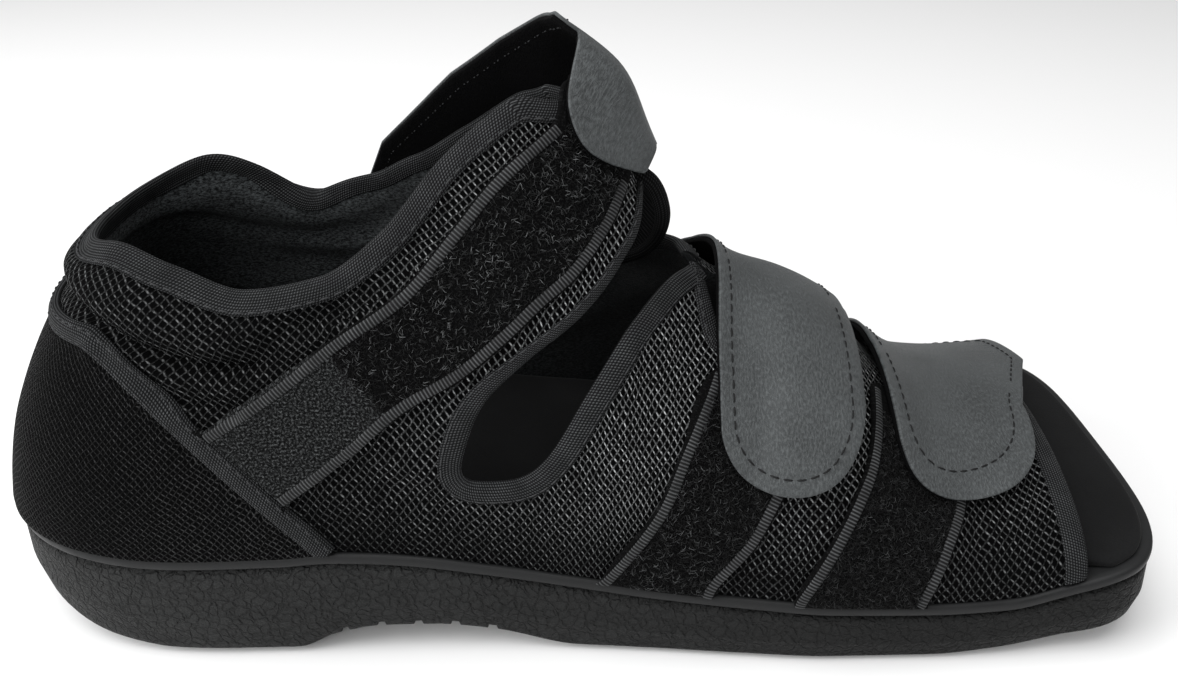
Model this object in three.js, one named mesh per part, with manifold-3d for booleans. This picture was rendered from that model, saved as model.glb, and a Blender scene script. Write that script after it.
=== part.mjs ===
// Post-operative shoe with an open toe, a wide throat and three hook-and-loop
// straps that close on one side. Millimetres, +Z up, +X to the toe, and -Y the
// side on which the straps close. The shoe stands on its outsole at z = 0, and
// the origin is under the middle of its length.
import * as THREE from 'three';
import { mergeVertices } from 'three/addons/utils/BufferGeometryUtils.js';
import Module from 'manifold-3d';

// ---- named sizes ----
const LENGTH = 290;         // sole, heel to toe
const BALL = 104;           // widest part of the sole
const HEEL = 33;            // standing height of the footbed at the heel
const INSTEP = 137;         // top of the ankle flap above the floor
const GAP = 0.3;            // clearance between sewn or glued pieces
const WALL = 3.0;           // padded mesh of the upper
const WRAP = 3.0;           // thickness of the smooth layer on the outsole
const INSOLE = 2.6;
const BINDING = 1.2;        // edge tape folded over the mesh
const TAPE = 1.3;           // loop tape sewn flat on the mesh
const STRAP = 2.2;          // laminated strap with its hook side
const OVERLAP = 1.4;        // the far flaps lie this much lower, under the near ones
const FEATHER = 1.1;        // the upper stands this far inside the sole's edge

// ---- places along the shoe, from its length ----
const HEEL_CENTRE = 0.2138 * LENGTH;  // centre of the round heel
const FLAPS = 0.345 * LENGTH;         // where the ankle flaps start to lap
const LAPPED = 0.448 * LENGTH;        // and where they lie fully one on the other
const TOE_EDGE = 0.921 * LENGTH;      // cut edge of the open toe
const TOE_START = 0.9172 * LENGTH;    // where the toe of the sole starts to round
const LAST_X = 0.955 * LENGTH;        // last section of the upper, beyond its cut edge

// A table has named columns and a row for each section. Lengths along the shoe
// are shares of LENGTH, widths of BALL, sole heights of HEEL, others of INSTEP.
function table(names, rows) {
  return Object.fromEntries(names.map((name, c) => [name, rows.map((row) => row[c])]));
}

// Sole: half width of its top edge, height of its top and of its underside.
const SOLE = table(['at', 'half', 'top', 'under'], [
  [0.000, 0.437, 1.010, 0.440],
  [0.050, 0.440, 0.985, 0.165],
  [0.100, 0.443, 0.965, 0.045],
  [0.155, 0.444, 0.952, 0.000],
  [0.260, 0.444, 0.964, 0.000],
  [0.295, 0.442, 0.982, 0.135],
  [0.335, 0.438, 0.960, 0.200],
  [0.380, 0.436, 0.910, 0.200],
  [0.430, 0.438, 0.832, 0.150],
  [0.505, 0.451, 0.730, 0.000],
  [0.570, 0.465, 0.645, 0.000],
  [0.640, 0.484, 0.594, 0.000],
  [0.720, 0.500, 0.551, 0.000],
  [0.800, 0.500, 0.536, 0.000],
  [0.860, 0.494, 0.550, 0.045],
  [0.910, 0.482, 0.642, 0.115],
  [0.960, 0.474, 0.775, 0.185],
  [1.000, 0.471, 0.833, 0.240],
]);

// Ridge of the upper along the middle, if the shoe were closed all over.
const RIDGE = table(['at', 'up'], [
  [0.000, 1.095],
  [0.345, 1.095],
  [0.448, 1.073],
  [0.490, 1.000],
  [0.517, 0.927],
  [0.545, 0.839],
  [0.572, 0.737],
  [0.600, 0.650],
  [0.635, 0.588],
  [0.683, 0.558],
  [0.731, 0.500],
  [0.766, 0.423],
  [0.800, 0.365],
  [0.831, 0.334],
  [0.869, 0.318],
  [0.966, 0.296],
]);

// How full each cross section is: the higher, the boxier. The near side is the
// side with the closures, and the far flaps slope a little more over the toes.
const FULL = table(['at', 'nearRise', 'nearLean', 'farRise', 'farLean'], [
  [0.00, 2.00, 1.18, 2.00, 1.18],
  [0.38, 2.00, 1.18, 2.00, 1.18],
  [0.48, 2.00, 1.30, 2.00, 1.30],
  [0.60, 1.93, 1.50, 1.78, 1.45],
  [0.72, 1.90, 1.75, 1.78, 1.50],
  [1.00, 1.90, 1.90, 1.90, 1.85],
]);

// Curve of the back of the heel, from the side.
const BACK = table(['up', 'at'], [
  [0.240, -0.002],
  [0.307, 0.007],
  [0.401, 0.023],
  [0.474, 0.040],
  [0.547, 0.060],
  [0.599, 0.076],
  [0.657, 0.093],
  [0.700, 0.107],
  [0.745, 0.121],
  [0.818, 0.131],
  [1.095, 0.138],
]);

// Top edge of the collar, from the back up to the ridge of the ankle flaps.
const RIM = table(['at', 'up'], [
  [-0.050, 0.741],
  [0.117, 0.743],
  [0.170, 0.766],
  [0.212, 0.737],
  [0.264, 0.699],
  [0.320, 0.715],
  [0.365, 0.772],
  [0.415, 0.880],
  [0.463, 0.953],
  [0.491, 0.980],
  [0.508, 1.240],
]);

// Fold below the padded collar, and how much of the padding is left there.
const FOLD = table(['at', 'up', 'pad'], [
  [-0.05, 0.640, 1.0],
  [0.15, 0.642, 1.0],
  [0.20, 0.622, 1.0],
  [0.25, 0.577, 0.9],
  [0.29, 0.580, 0.5],
  [0.34, 0.600, 0.0],
  [1.00, 0.600, 0.0],
]);

// Throat: the edge of each ankle flap going up, and of each vamp flap going up.
const THROAT = {
  nearAnkle: table(['at', 'up'], [
    [0.414, 0.380], [0.418, 0.438], [0.435, 0.515], [0.471, 0.584],
    [0.512, 0.642], [0.545, 0.704], [0.563, 0.765], [0.572, 0.960],
  ]),
  nearVamp: table(['at', 'up'], [
    [0.430, 0.366], [0.462, 0.372], [0.487, 0.414], [0.518, 0.515],
    [0.551, 0.608], [0.590, 0.647], [0.613, 0.682], [0.624, 0.960],
  ]),
  farAnkle: table(['at', 'up'], [
    [0.414, 0.380], [0.418, 0.438], [0.435, 0.515], [0.471, 0.584],
    [0.520, 0.638], [0.560, 0.672], [0.584, 0.735], [0.586, 0.800],
    [0.572, 0.960],
  ]),
  farVamp: table(['at', 'up'], [
    [0.430, 0.366], [0.462, 0.372], [0.487, 0.414], [0.515, 0.505],
    [0.545, 0.580], [0.585, 0.625], [0.609, 0.680], [0.624, 0.960],
  ]),
};

// Edge tape of the heel panel, from the sole up and round the back.
const PANEL = table(['at', 'up'], [
  [0.300, 0.200], [0.290, 0.248], [0.272, 0.325], [0.248, 0.405],
  [0.207, 0.508], [0.172, 0.578], [0.145, 0.608], [0.090, 0.612],
  [0.000, 0.612], [-0.080, 0.612],
]);

// Outlines seen from the side, for what is sewn or laid on the upper.
const OUTLINE = {
  ankleTape: table(['at', 'up'], [
    [0.232, 0.484], [0.284, 0.347], [0.372, 0.500], [0.420, 0.556],
    [0.455, 0.612], [0.483, 0.662], [0.510, 0.702], [0.534, 0.755],
    [0.547, 0.800], [0.551, 0.850], [0.505, 0.960], [0.494, 0.915],
    [0.455, 0.858], [0.417, 0.775], [0.379, 0.693], [0.324, 0.622],
  ]),
  midTape: table(['at', 'up'], [
    [0.520, 0.060], [0.607, 0.060], [0.621, 0.175], [0.648, 0.248],
    [0.666, 0.314], [0.690, 0.405], [0.697, 0.475], [0.617, 0.505],
    [0.590, 0.409], [0.569, 0.314], [0.531, 0.197],
  ]),
  toeTape: table(['at', 'up'], [
    [0.680, 0.040], [0.780, 0.040], [0.793, 0.153], [0.810, 0.219],
    [0.825, 0.258], [0.838, 0.300], [0.760, 0.375], [0.742, 0.360],
    [0.728, 0.318], [0.710, 0.255], [0.686, 0.161],
  ]),
  midStrapNear: table(['at', 'up'], [
    [0.617, 0.900], [0.617, 0.440], [0.622, 0.400], [0.634, 0.366],
    [0.652, 0.343], [0.672, 0.333], [0.690, 0.333], [0.708, 0.343],
    [0.723, 0.368], [0.733, 0.402], [0.736, 0.440], [0.736, 0.900],
  ]),
  midStrapFar: table(['at', 'up'], [
    [0.617, 0.900], [0.613, 0.190], [0.733, 0.175], [0.736, 0.900],
  ]),
  toeStrapNear: table(['at', 'up'], [
    [0.764, 0.700], [0.765, 0.375], [0.771, 0.330], [0.784, 0.298],
    [0.803, 0.276], [0.825, 0.264], [0.848, 0.262], [0.870, 0.266],
    [0.889, 0.277], [0.902, 0.292], [0.909, 0.312], [0.909, 0.700],
  ]),
  toeStrapFar: table(['at', 'up'], [
    [0.764, 0.700], [0.764, 0.165], [0.905, 0.190], [0.909, 0.700],
  ]),
  ankleStrapNear: table(['at', 'up'], [
    [0.486, 1.300], [0.486, 1.010], [0.496, 0.965], [0.502, 0.926],
    [0.513, 0.890], [0.526, 0.865], [0.543, 0.838], [0.562, 0.808],
    [0.585, 0.800], [0.610, 1.300],
  ]),
  ankleStrapFar: table(['at', 'up'], [
    [0.486, 1.300], [0.486, 1.040], [0.462, 1.000], [0.434, 0.950],
    [0.405, 0.895], [0.381, 0.838], [0.356, 0.788], [0.331, 0.752],
    [0.310, 0.680], [0.330, 0.560], [0.395, 0.440], [0.440, 0.505],
    [0.478, 0.580], [0.520, 0.640], [0.550, 0.700], [0.566, 0.760],
    [0.577, 0.830], [0.610, 1.300],
  ]),
};

// Monotone cubic curve through one column of a table against another.
function curve(xs, ys) {
  const n = xs.length;
  const h = [], d = [], m = new Array(n).fill(0);
  for (let i = 0; i < n - 1; i++) {
    h.push(xs[i + 1] - xs[i]);
    d.push((ys[i + 1] - ys[i]) / h[i]);
  }
  for (let i = 1; i < n - 1; i++) {
    if (d[i - 1] * d[i] > 0) {
      const a = 2 * h[i] + h[i - 1], b = h[i] + 2 * h[i - 1];
      m[i] = (a + b) / (a / d[i - 1] + b / d[i]);
    }
  }
  m[0] = d[0];
  m[n - 1] = d[n - 2];
  return (value) => {
    const x = Math.min(Math.max(value, xs[0]), xs[n - 1]);
    let i = 0;
    while (i < n - 2 && x > xs[i + 1]) i++;
    const s = (x - xs[i]) / h[i], t = s * s, u = t * s;
    return (2 * u - 3 * t + 1) * ys[i] + (u - 2 * t + s) * h[i] * m[i]
      + (3 * t - 2 * u) * ys[i + 1] + (u - t) * h[i] * m[i + 1];
  };
}
const along = (tab, name, unit) => {
  const f = curve(tab.at, tab[name]);
  return (x) => unit * f(x / LENGTH);
};
const halfWidth = along(SOLE, 'half', BALL);
const soleTop = along(SOLE, 'top', HEEL);
const soleUnder = along(SOLE, 'under', HEEL);
const ridge = along(RIDGE, 'up', INSTEP);
const rim = along(RIM, 'up', INSTEP);
const fold = along(FOLD, 'up', INSTEP);
const pad = along(FOLD, 'pad', 1);
const backCurve = curve(BACK.up, BACK.at);
const heelBack = (z) => LENGTH * backCurve(z / INSTEP);
const clamp01 = (t) => Math.min(Math.max(t, 0), 1);
const smooth = (t) => clamp01(t) ** 2 * (3 - 2 * clamp01(t));

// ---- solids ----
const wasm = await Module();
wasm.setup();

// Closed solid from positions and triangles; shared points are merged.
function solid(positions, triangles) {
  const g = new THREE.BufferGeometry();
  g.setAttribute('position', new THREE.Float32BufferAttribute(positions.flat(), 3));
  g.setIndex(triangles.flat());
  return solidFrom(g);
}
function solidFrom(geometry) {
  const g = geometry.clone();
  g.deleteAttribute('normal');
  g.deleteAttribute('uv');
  const m = mergeVertices(g, 1e-4);
  const index = m.getIndex().array, tris = [];
  for (let i = 0; i < index.length; i += 3) {
    const [a, b, c] = [index[i], index[i + 1], index[i + 2]];
    if (a !== b && b !== c && c !== a) tris.push(a, b, c);
  }
  return new wasm.Manifold(new wasm.Mesh({
    numProp: 3,
    vertProperties: Float32Array.from(m.getAttribute('position').array),
    triVerts: Uint32Array.from(tris),
  }));
}

// Straight prism across the shoe, from y0 to y1, over an outline of [x, z].
function prism(outline, y0, y1) {
  const shape = new THREE.Shape(outline.map(([x, z]) => new THREE.Vector2(x, z)));
  const g = new THREE.ExtrudeGeometry(shape, { depth: y1 - y0, bevelEnabled: false, steps: 1 });
  g.rotateX(Math.PI / 2);
  g.translate(0, y1, 0);
  return solidFrom(g);
}
const points = (tab) => tab.at.map((at, i) => [at * LENGTH, tab.up[i] * INSTEP]);

// Line moved sideways by a distance, to the left of its direction.
function aside(line, by) {
  return line.map((p, i) => {
    const a = line[Math.max(i - 1, 0)], b = line[Math.min(i + 1, line.length - 1)];
    const dx = b[0] - a[0], dz = b[1] - a[1], l = Math.hypot(dx, dz);
    return [p[0] - (dz / l) * by, p[1] + (dx / l) * by];
  });
}
const band = (line, from, to) => [...aside(line, from), ...aside(line, to).reverse()];

// Plan of the sole, moved in by inset: round heel, sides, square toe.
const HEEL_ROUND = 2.5, TOE_ROUND = 3.3;
function plan(inset) {
  const near = [];
  const bow = (t, n) => [Math.max(Math.cos(t), 0) ** (2 / n), Math.sin(t) ** (2 / n)];
  for (let i = 0; i <= 9; i++) {
    const [c, s] = bow((i / 9) * Math.PI / 2, HEEL_ROUND);
    near.push([HEEL_CENTRE - (HEEL_CENTRE + 1 - inset) * c, (halfWidth(HEEL_CENTRE) - inset) * s]);
  }
  for (let i = 1; i < 20; i++) {
    const x = HEEL_CENTRE + (TOE_START - HEEL_CENTRE) * i / 20;
    near.push([x, halfWidth(x) - inset]);
  }
  for (let i = 9; i >= 0; i--) {
    const [c, s] = bow((i / 9) * Math.PI / 2, TOE_ROUND);
    near.push([TOE_START + (LENGTH + 1.5 - inset - TOE_START) * c, (halfWidth(TOE_START) - inset) * s]);
  }
  return near;
}

// Stack of plans: each level has an inset and a height along the shoe.
function slab(levels) {
  const pos = [], tri = [];
  const rings = levels.map(({ inset, height }) => plan(inset).map(([x, y]) => {
    pos.push([x, -y, height(x)], [x, y, height(x)]);
    return [pos.length - 2, pos.length - 1];
  }));
  const n = rings[0].length;
  for (let k = 0; k < rings.length - 1; k++) {
    const a = rings[k], b = rings[k + 1];
    for (let i = 0; i < n - 1; i++) {
      tri.push([a[i][0], a[i + 1][0], b[i + 1][0]], [a[i][0], b[i + 1][0], b[i][0]]);
      tri.push([a[i][1], b[i + 1][1], a[i + 1][1]], [a[i][1], b[i][1], b[i + 1][1]]);
    }
  }
  const low = rings[0], high = rings[rings.length - 1];
  for (let i = 0; i < n - 1; i++) {
    tri.push([low[i][0], low[i][1], low[i + 1][1]], [low[i][0], low[i + 1][1], low[i + 1][0]]);
    tri.push([high[i][0], high[i + 1][1], high[i][1]], [high[i][0], high[i + 1][0], high[i + 1][1]]);
  }
  return solid(pos, tri);
}

// ---- form of the upper ----
const STEPS = 9, SECTIONS = 19, FAN = 6;
const rises = Array.from({ length: STEPS + 1 }, (_, i) => (i / STEPS) * Math.PI / 2);
const full = Object.fromEntries(['nearRise', 'nearLean', 'farRise', 'farLean']
  .map((name) => [name, along(FULL, name, 1)]));

// A point of one cross section: t goes from 0 at the sole to a quarter turn.
function section(x, t, side) {
  const rise = (side < 0 ? full.nearRise : full.farRise)(x);
  const side0 = (side < 0 ? full.nearLean : full.farLean)(x);
  const lean = side0 + (2 - side0) * smooth((t - 0.87) / 0.70);   // round at the top
  const foot = soleTop(x);
  const share = Math.sin(t) ** (2 / rise);
  return {
    y: (halfWidth(x) - FEATHER) * Math.max(Math.cos(t), 0) ** (2 / lean),
    z: foot + (ridge(x) - foot) * share,
    share,
  };
}

// Ribs from the near toe round the heel to the far toe, each from sole to ridge.
function ribs() {
  const list = [];
  const straight = (x, side) => rises.map((t, j) => {
    const p = section(x, t, side);
    return { p: [x, j === STEPS ? 0 : side * p.y, p.z], side, t };
  });
  const round = (turn, side) => rises.map((t, j) => {
    const p = section(HEEL_CENTRE, t, side);
    const depth = (HEEL_CENTRE - heelBack(p.z)) * Math.sqrt(Math.max(1 - p.share ** 6, 0));
    const c = Math.max(Math.cos(turn), 0) ** (2 / HEEL_ROUND), s = Math.sin(turn) ** (2 / HEEL_ROUND);
    const x = HEEL_CENTRE - depth * c;
    const lift = (soleTop(x) - soleTop(HEEL_CENTRE)) * (1 - p.share) ** 2;
    return { p: [x, j === STEPS ? 0 : side * p.y * s, p.z + lift], side, t };
  });
  for (let i = 0; i <= SECTIONS; i++) {
    list.push(straight(LAST_X + (HEEL_CENTRE - LAST_X) * i / SECTIONS, -1));
  }
  for (let i = FAN - 1; i >= 0; i--) list.push(round((i / FAN) * Math.PI / 2, -1));
  for (let i = 1; i < FAN; i++) list.push(round((i / FAN) * Math.PI / 2, 1));
  for (let i = SECTIONS; i >= 0; i--) {
    list.push(straight(LAST_X + (HEEL_CENTRE - LAST_X) * i / SECTIONS, 1));
  }
  return list;
}

// The same ribs with the outward direction at each point.
const RIBS = ribs();
const vec = (a, b) => [b[0] - a[0], b[1] - a[1], b[2] - a[2]];
for (let i = 0; i < RIBS.length; i++) {
  for (let j = 0; j <= STEPS; j++) {
    const here = RIBS[i][j];
    const u = vec(RIBS[Math.max(i - 1, 0)][j].p, RIBS[Math.min(i + 1, RIBS.length - 1)][j].p);
    const v = vec(RIBS[i][Math.max(j - 1, 0)].p, RIBS[i][Math.min(j + 1, STEPS)].p);
    let n = [v[1] * u[2] - v[2] * u[1], v[2] * u[0] - v[0] * u[2], v[0] * u[1] - v[1] * u[0]];
    if (j === STEPS) {
      const slope = (ridge(here.p[0] + 2) - ridge(here.p[0] - 2)) / 4;
      n = here.p[0] > HEEL_CENTRE ? [-slope, 0, 1] : [0, 0, 1];
    }
    if (j === 0) n[2] = 0;
    if (i === 0 || i === RIBS.length - 1) n[0] = 0;
    const l = Math.hypot(...n);
    here.n = n.map((c) => c / l);
  }
}

// Padding of the collar: 0 at its fold and at the rim, 1 between.
function collarPad([x, , z]) {
  const s = (z - fold(x)) / (rim(x) + 2 - fold(x));
  return s > 0 && s < 1 ? pad(x) * Math.sin(Math.PI * s) ** 0.6 : 0;
}
// The far flaps step down below the near ones on the top of the foot.
const underNear = (here) => (here.side > 0 && here.p[0] > FLAPS
  ? OVERLAP * smooth((here.p[0] - FLAPS) / (LAPPED - FLAPS)) * smooth((Math.PI / 2 - here.t) / 0.12) : 0);

// Closed form at an offset from the outside of the mesh. extra adds to it.
const LOW = -12;
function form(offset, extra = () => 0, padding = 3.2) {
  const pos = [], tri = [];
  const grid = RIBS.map((rib) => {
    const row = [];
    const moved = rib.map((here) => {
      const by = offset + padding * collarPad(here.p) - underNear(here) + extra(here);
      return here.p.map((c, k) => c + here.n[k] * by);
    });
    const x = rib[0].p[0];
    pos.push([Math.max(x, HEEL_CENTRE), 0, LOW]);
    row.push(pos.length - 1);
    pos.push([moved[0][0], moved[0][1], LOW]);
    row.push(pos.length - 1);
    for (const p of moved) {
      pos.push(p);
      row.push(pos.length - 1);
    }
    return row;
  });
  for (let i = 0; i < grid.length - 1; i++) {
    for (let j = 0; j < grid[i].length - 1; j++) {
      const [a, b, c, d] = [grid[i][j], grid[i + 1][j], grid[i + 1][j + 1], grid[i][j + 1]];
      tri.push([a, c, b], [a, d, c]);
    }
  }
  const first = grid[0], last = grid[grid.length - 1];
  for (let j = 0; j < first.length - 1; j++) {
    tri.push([first[j], last[j], last[j + 1]], [first[j], last[j + 1], first[j + 1]]);
  }
  return solid(pos, tri);
}
const shell = (inner, outer, extra) => form(outer, extra).subtract(form(inner, extra));
const FAR = 90, EDGE = 0.15;

// Everything lower than the top of the sole, with the clearance.
function belowSole(clear) {
  const top = [];
  for (let i = 0; i <= 44; i++) {
    const x = -8 + (LENGTH + 16) * i / 44;
    top.push([x, soleTop(x) + clear]);
  }
  return prism([[-8, -40], ...top, [LENGTH + 8, -40]].reverse(), -FAR, FAR);
}
const floor = belowSole(GAP);

// ---- sole ----
const groove = { width: 2.6, depth: 2.0, count: 26, from: 0.076, to: 0.903 };
let outsole = slab([
  { inset: 0.7, height: soleUnder },
  { inset: -0.5, height: (x) => soleUnder(x) + 0.45 * (soleTop(x) - soleUnder(x)) },
  { inset: 0.2, height: (x) => soleTop(x) - WRAP - GAP },
]);
// Tread ribs across the waist run right through; the others stop short of the
// side, and a plain patch is left under the heel and under the ball.
const inside = slab([
  { inset: 9, height: () => -6 },
  { inset: 9, height: () => 30 },
]);
for (let i = 0; i <= groove.count; i++) {
  const at = groove.from + (groove.to - groove.from) * i / groove.count, x = at * LENGTH;
  const waist = at > 0.276 && at < 0.455;
  if ((at > 0.152 && at < 0.259) || (at > 0.641 && at < 0.745)) continue;
  const cut = prism([
    [x, -6], [x + groove.width, -6],
    [x + groove.width, soleUnder(x + groove.width) + groove.depth], [x, soleUnder(x) + groove.depth],
  ], -FAR, FAR);
  outsole = outsole.subtract(waist ? cut : cut.intersect(inside));
}
const platform = slab([
  { inset: 0.2, height: (x) => soleTop(x) - WRAP },
  { inset: 0, height: (x) => soleTop(x) - WRAP / 2 },
  { inset: 0.2, height: soleTop },
]);
const insole = slab([
  { inset: 6.8, height: (x) => soleTop(x) + GAP },
  { inset: 7.6, height: (x) => soleTop(x) + GAP + INSOLE },
]);

// Room for the insole's edge, inside the upper.
const insoleRoom = slab([
  { inset: 6.4, height: (x) => soleTop(x) },
  { inset: 7.2, height: (x) => soleTop(x) + 2 * GAP + INSOLE },
]);

// ---- upper ----
const rimLine = points(RIM);
const above = [...rimLine, [0.508 * LENGTH, 230], [-14.5, 230]];
const throat = (rear, front) => [...points(rear), ...points(front).reverse()].reverse();
const openings = prism(above, -FAR, FAR)
  .add(prism(throat(THROAT.nearAnkle, THROAT.nearVamp), -FAR, 0))
  .add(prism(throat(THROAT.farAnkle, THROAT.farVamp), 0, FAR))
  .add(prism([[TOE_EDGE, -40], [LENGTH + 20, -40], [LENGTH + 20, 90], [TOE_EDGE, 90]], -FAR, FAR))
  .add(floor);
const hollow = form(-WALL, () => 0, -3.4);
const upper = form(0).subtract(hollow).subtract(openings);

// Edge tape folded over an edge: outside, over the cut and inside. The line
// runs along the cut with the mesh on its right.
function folded(line, y0, y1, width) {
  const reach = (by) => prism(band(line, by.out, -by.in).reverse(), y0 + by.end, y1 - by.end);
  const outer = form(GAP + BINDING).subtract(form(-WALL - GAP - BINDING, () => 0, -3.4))
    .intersect(reach({ out: GAP + BINDING, in: width, end: EDGE }));
  const mesh = form(GAP).subtract(form(-WALL - GAP, () => 0, -3.4))
    .intersect(reach({ out: GAP, in: width + 6, end: -1 }));
  return outer.subtract(mesh).subtract(floor);
}
const ankleToVamp = (rear, front) => [...points(rear).reverse(), ...points(front)];
const collarBinding = folded(rimLine, -FAR, FAR, 5.5);
const throatNear = folded(ankleToVamp(THROAT.nearAnkle, THROAT.nearVamp), -FAR, 0, 4.6);
const throatFar = folded(ankleToVamp(THROAT.farAnkle, THROAT.farVamp), 0, FAR, 4.6);
const toeBinding = folded([[TOE_EDGE, 90], [TOE_EDGE, 5]], -FAR, FAR, 5.5).subtract(insoleRoom);

// ---- pieces on the outside of the mesh ----
const overlay = (outline, inner, outer, y0, y1, extra) => shell(inner, outer, extra)
  .intersect(prism([...points(outline)].reverse(), y0, y1)).subtract(floor);
const panelLine = points(PANEL);
const heelPanel = shell(GAP, GAP + 1.1)
  .intersect(prism([...aside(panelLine, 2.9), [-23.2, -20], [0.3 * LENGTH, -20]], -FAR, FAR))
  .subtract(floor);
const heelBinding = shell(GAP, GAP + 1.6)
  .intersect(prism(band(panelLine, -2.5, 2.5).reverse(), -FAR, FAR)).subtract(floor);
const laid = GAP + TAPE;
const ankleTape = overlay(OUTLINE.ankleTape, GAP, laid, -FAR, -0.6);
const midTape = overlay(OUTLINE.midTape, GAP, laid, -FAR, 0);
const toeTape = overlay(OUTLINE.toeTape, GAP, laid, -FAR, 0);

// A strap crosses from the far side and ends in a tab on the near side.
const under = laid + 0.5;
function strap(near, far, extra) {
  const outline = prism([...points(near)].reverse(), -FAR, 0.01)
    .add(prism([...points(far)].reverse(), 0, FAR));
  return shell(under, under + STRAP, extra).intersect(outline).subtract(belowSole(8));
}
const midStrap = strap(OUTLINE.midStrapNear, OUTLINE.midStrapFar);
const toeStrap = strap(OUTLINE.toeStrapNear, OUTLINE.toeStrapFar);
// The ankle strap arches free of the flaps where it goes over the top.
const arch = (here) => 4.2 * (here.side < 0
  ? smooth((here.p[1] + 14) / 11) : 1 - smooth((here.p[1] - 8) / 16));
const ankleStrap = strap(OUTLINE.ankleStrapNear, OUTLINE.ankleStrapFar, arch);

// ---- looks and scene ----
const look = (colour, roughness) => new THREE.MeshStandardMaterial({
  color: colour, roughness, metalness: 0, flatShading: true });
const looks = {
  foam: look(0x2d2e30, 0.85),
  wrap: look(0x232426, 0.7),
  insole: look(0x1e1f21, 0.9),
  mesh: look(0x242526, 0.95),
  binding: look(0x38393b, 0.85),
  tape: look(0x2c2d2d, 1.0),
  strap: look(0x484b4e, 0.6),
};
const shoe = new THREE.Group();
shoe.name = 'post_operative_shoe';
shoe.position.x = -(LENGTH + 0.2) / 2;
function place(name, piece, material) {
  const { vertProperties, triVerts, numProp } = piece.getMesh();
  if (numProp !== 3) throw new Error(`${name} has extra properties`);
  const g = new THREE.BufferGeometry();
  g.setAttribute('position', new THREE.BufferAttribute(Float32Array.from(vertProperties), 3));
  g.setIndex(new THREE.BufferAttribute(Uint32Array.from(triVerts), 1));
  g.computeVertexNormals();
  const mesh = new THREE.Mesh(g, material);
  mesh.name = name;
  shoe.add(mesh);
}
place('outsole', outsole, looks.foam);
place('platform', platform, looks.wrap);
place('insole', insole, looks.insole);
place('upper', upper, looks.mesh);
place('heel_panel', heelPanel, looks.mesh);
place('heel_binding', heelBinding, looks.binding);
place('collar_binding', collarBinding, looks.binding);
place('throat_binding_near', throatNear, looks.binding);
place('throat_binding_far', throatFar, looks.binding);
place('toe_binding', toeBinding, looks.binding);
place('ankle_loop_tape', ankleTape, looks.tape);
place('mid_loop_tape', midTape, looks.tape);
place('toe_loop_tape', toeTape, looks.tape);
place('ankle_strap', ankleStrap, looks.strap);
place('mid_strap', midStrap, looks.strap);
place('toe_strap', toeStrap, looks.strap);

export default shoe;
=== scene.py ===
"""Post-operative shoe: padded mesh on a moulded foam sole, open at the toe and
the throat, and closed by three hook-and-loop straps on its near side.

Lengths are in millimetres until a mesh is made.  x runs from the back of the
heel to the toe, y away from the side with the straps' tabs, and z up from the
floor, so that a point of the shoe is ((x - 145.1) / 1000, y / 1000, z / 1000).
"""
import math

import bmesh
import bpy
import numpy as np
from mathutils import Matrix, Vector


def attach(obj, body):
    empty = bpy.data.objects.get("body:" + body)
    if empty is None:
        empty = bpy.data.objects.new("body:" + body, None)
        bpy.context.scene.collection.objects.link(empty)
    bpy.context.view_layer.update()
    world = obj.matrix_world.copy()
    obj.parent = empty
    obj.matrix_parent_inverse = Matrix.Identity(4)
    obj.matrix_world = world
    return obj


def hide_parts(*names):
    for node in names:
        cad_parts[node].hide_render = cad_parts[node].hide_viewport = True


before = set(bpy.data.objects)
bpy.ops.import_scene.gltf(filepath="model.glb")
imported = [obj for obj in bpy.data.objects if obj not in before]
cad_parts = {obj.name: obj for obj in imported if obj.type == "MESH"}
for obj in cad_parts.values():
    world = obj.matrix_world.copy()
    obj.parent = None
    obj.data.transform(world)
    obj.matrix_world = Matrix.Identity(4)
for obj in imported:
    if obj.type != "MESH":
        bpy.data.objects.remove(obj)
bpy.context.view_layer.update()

# Where the shoe stands
# A pale studio table with soft light from above and in front.  The camera looks
# down on the near side of the shoe, very slightly rolled.
look_down, roll = math.radians(29.9), math.radians(-1.2)
eye = Vector((0.0052, -0.2239, 0.1913))
PICTURE_WIDTH, FOCAL_LENGTH = 1178.0, 990.0      # both in pixels of the picture
ahead = Vector((0, math.cos(look_down), -math.sin(look_down)))
across = Vector((1, 0, 0))
upward = across.cross(ahead)
right = math.cos(roll) * across + math.sin(roll) * upward
up = math.cos(roll) * upward - math.sin(roll) * across
camera = bpy.data.objects.new("camera", bpy.data.cameras.new("camera"))
camera.data.sensor_width = 36.0
camera.data.lens = 36.0 * FOCAL_LENGTH / PICTURE_WIDTH
camera.data.clip_start, camera.data.clip_end = 0.02, 20.0
camera.matrix_world = Matrix((
    (right.x, up.x, -ahead.x, eye.x),
    (right.y, up.y, -ahead.y, eye.y),
    (right.z, up.z, -ahead.z, eye.z),
    (0, 0, 0, 1)))
bpy.context.scene.collection.objects.link(camera)
bpy.context.scene.camera = camera

table_top = bpy.data.meshes.new("table_top")
table_top.from_pydata([(-4, -4, 0), (4, -4, 0), (4, 4, 0), (-4, 4, 0)], [], [(0, 1, 2, 3)])
floor = bpy.data.objects.new("floor", table_top)
bpy.context.scene.collection.objects.link(floor)
paint = bpy.data.materials.new("pale_table")
paint.use_nodes = True
paint.node_tree.nodes["Principled BSDF"].inputs["Base Color"].default_value = (0.86, 0.86, 0.86, 1)
paint.node_tree.nodes["Principled BSDF"].inputs["Roughness"].default_value = 0.7
table_top.materials.append(paint)


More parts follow.
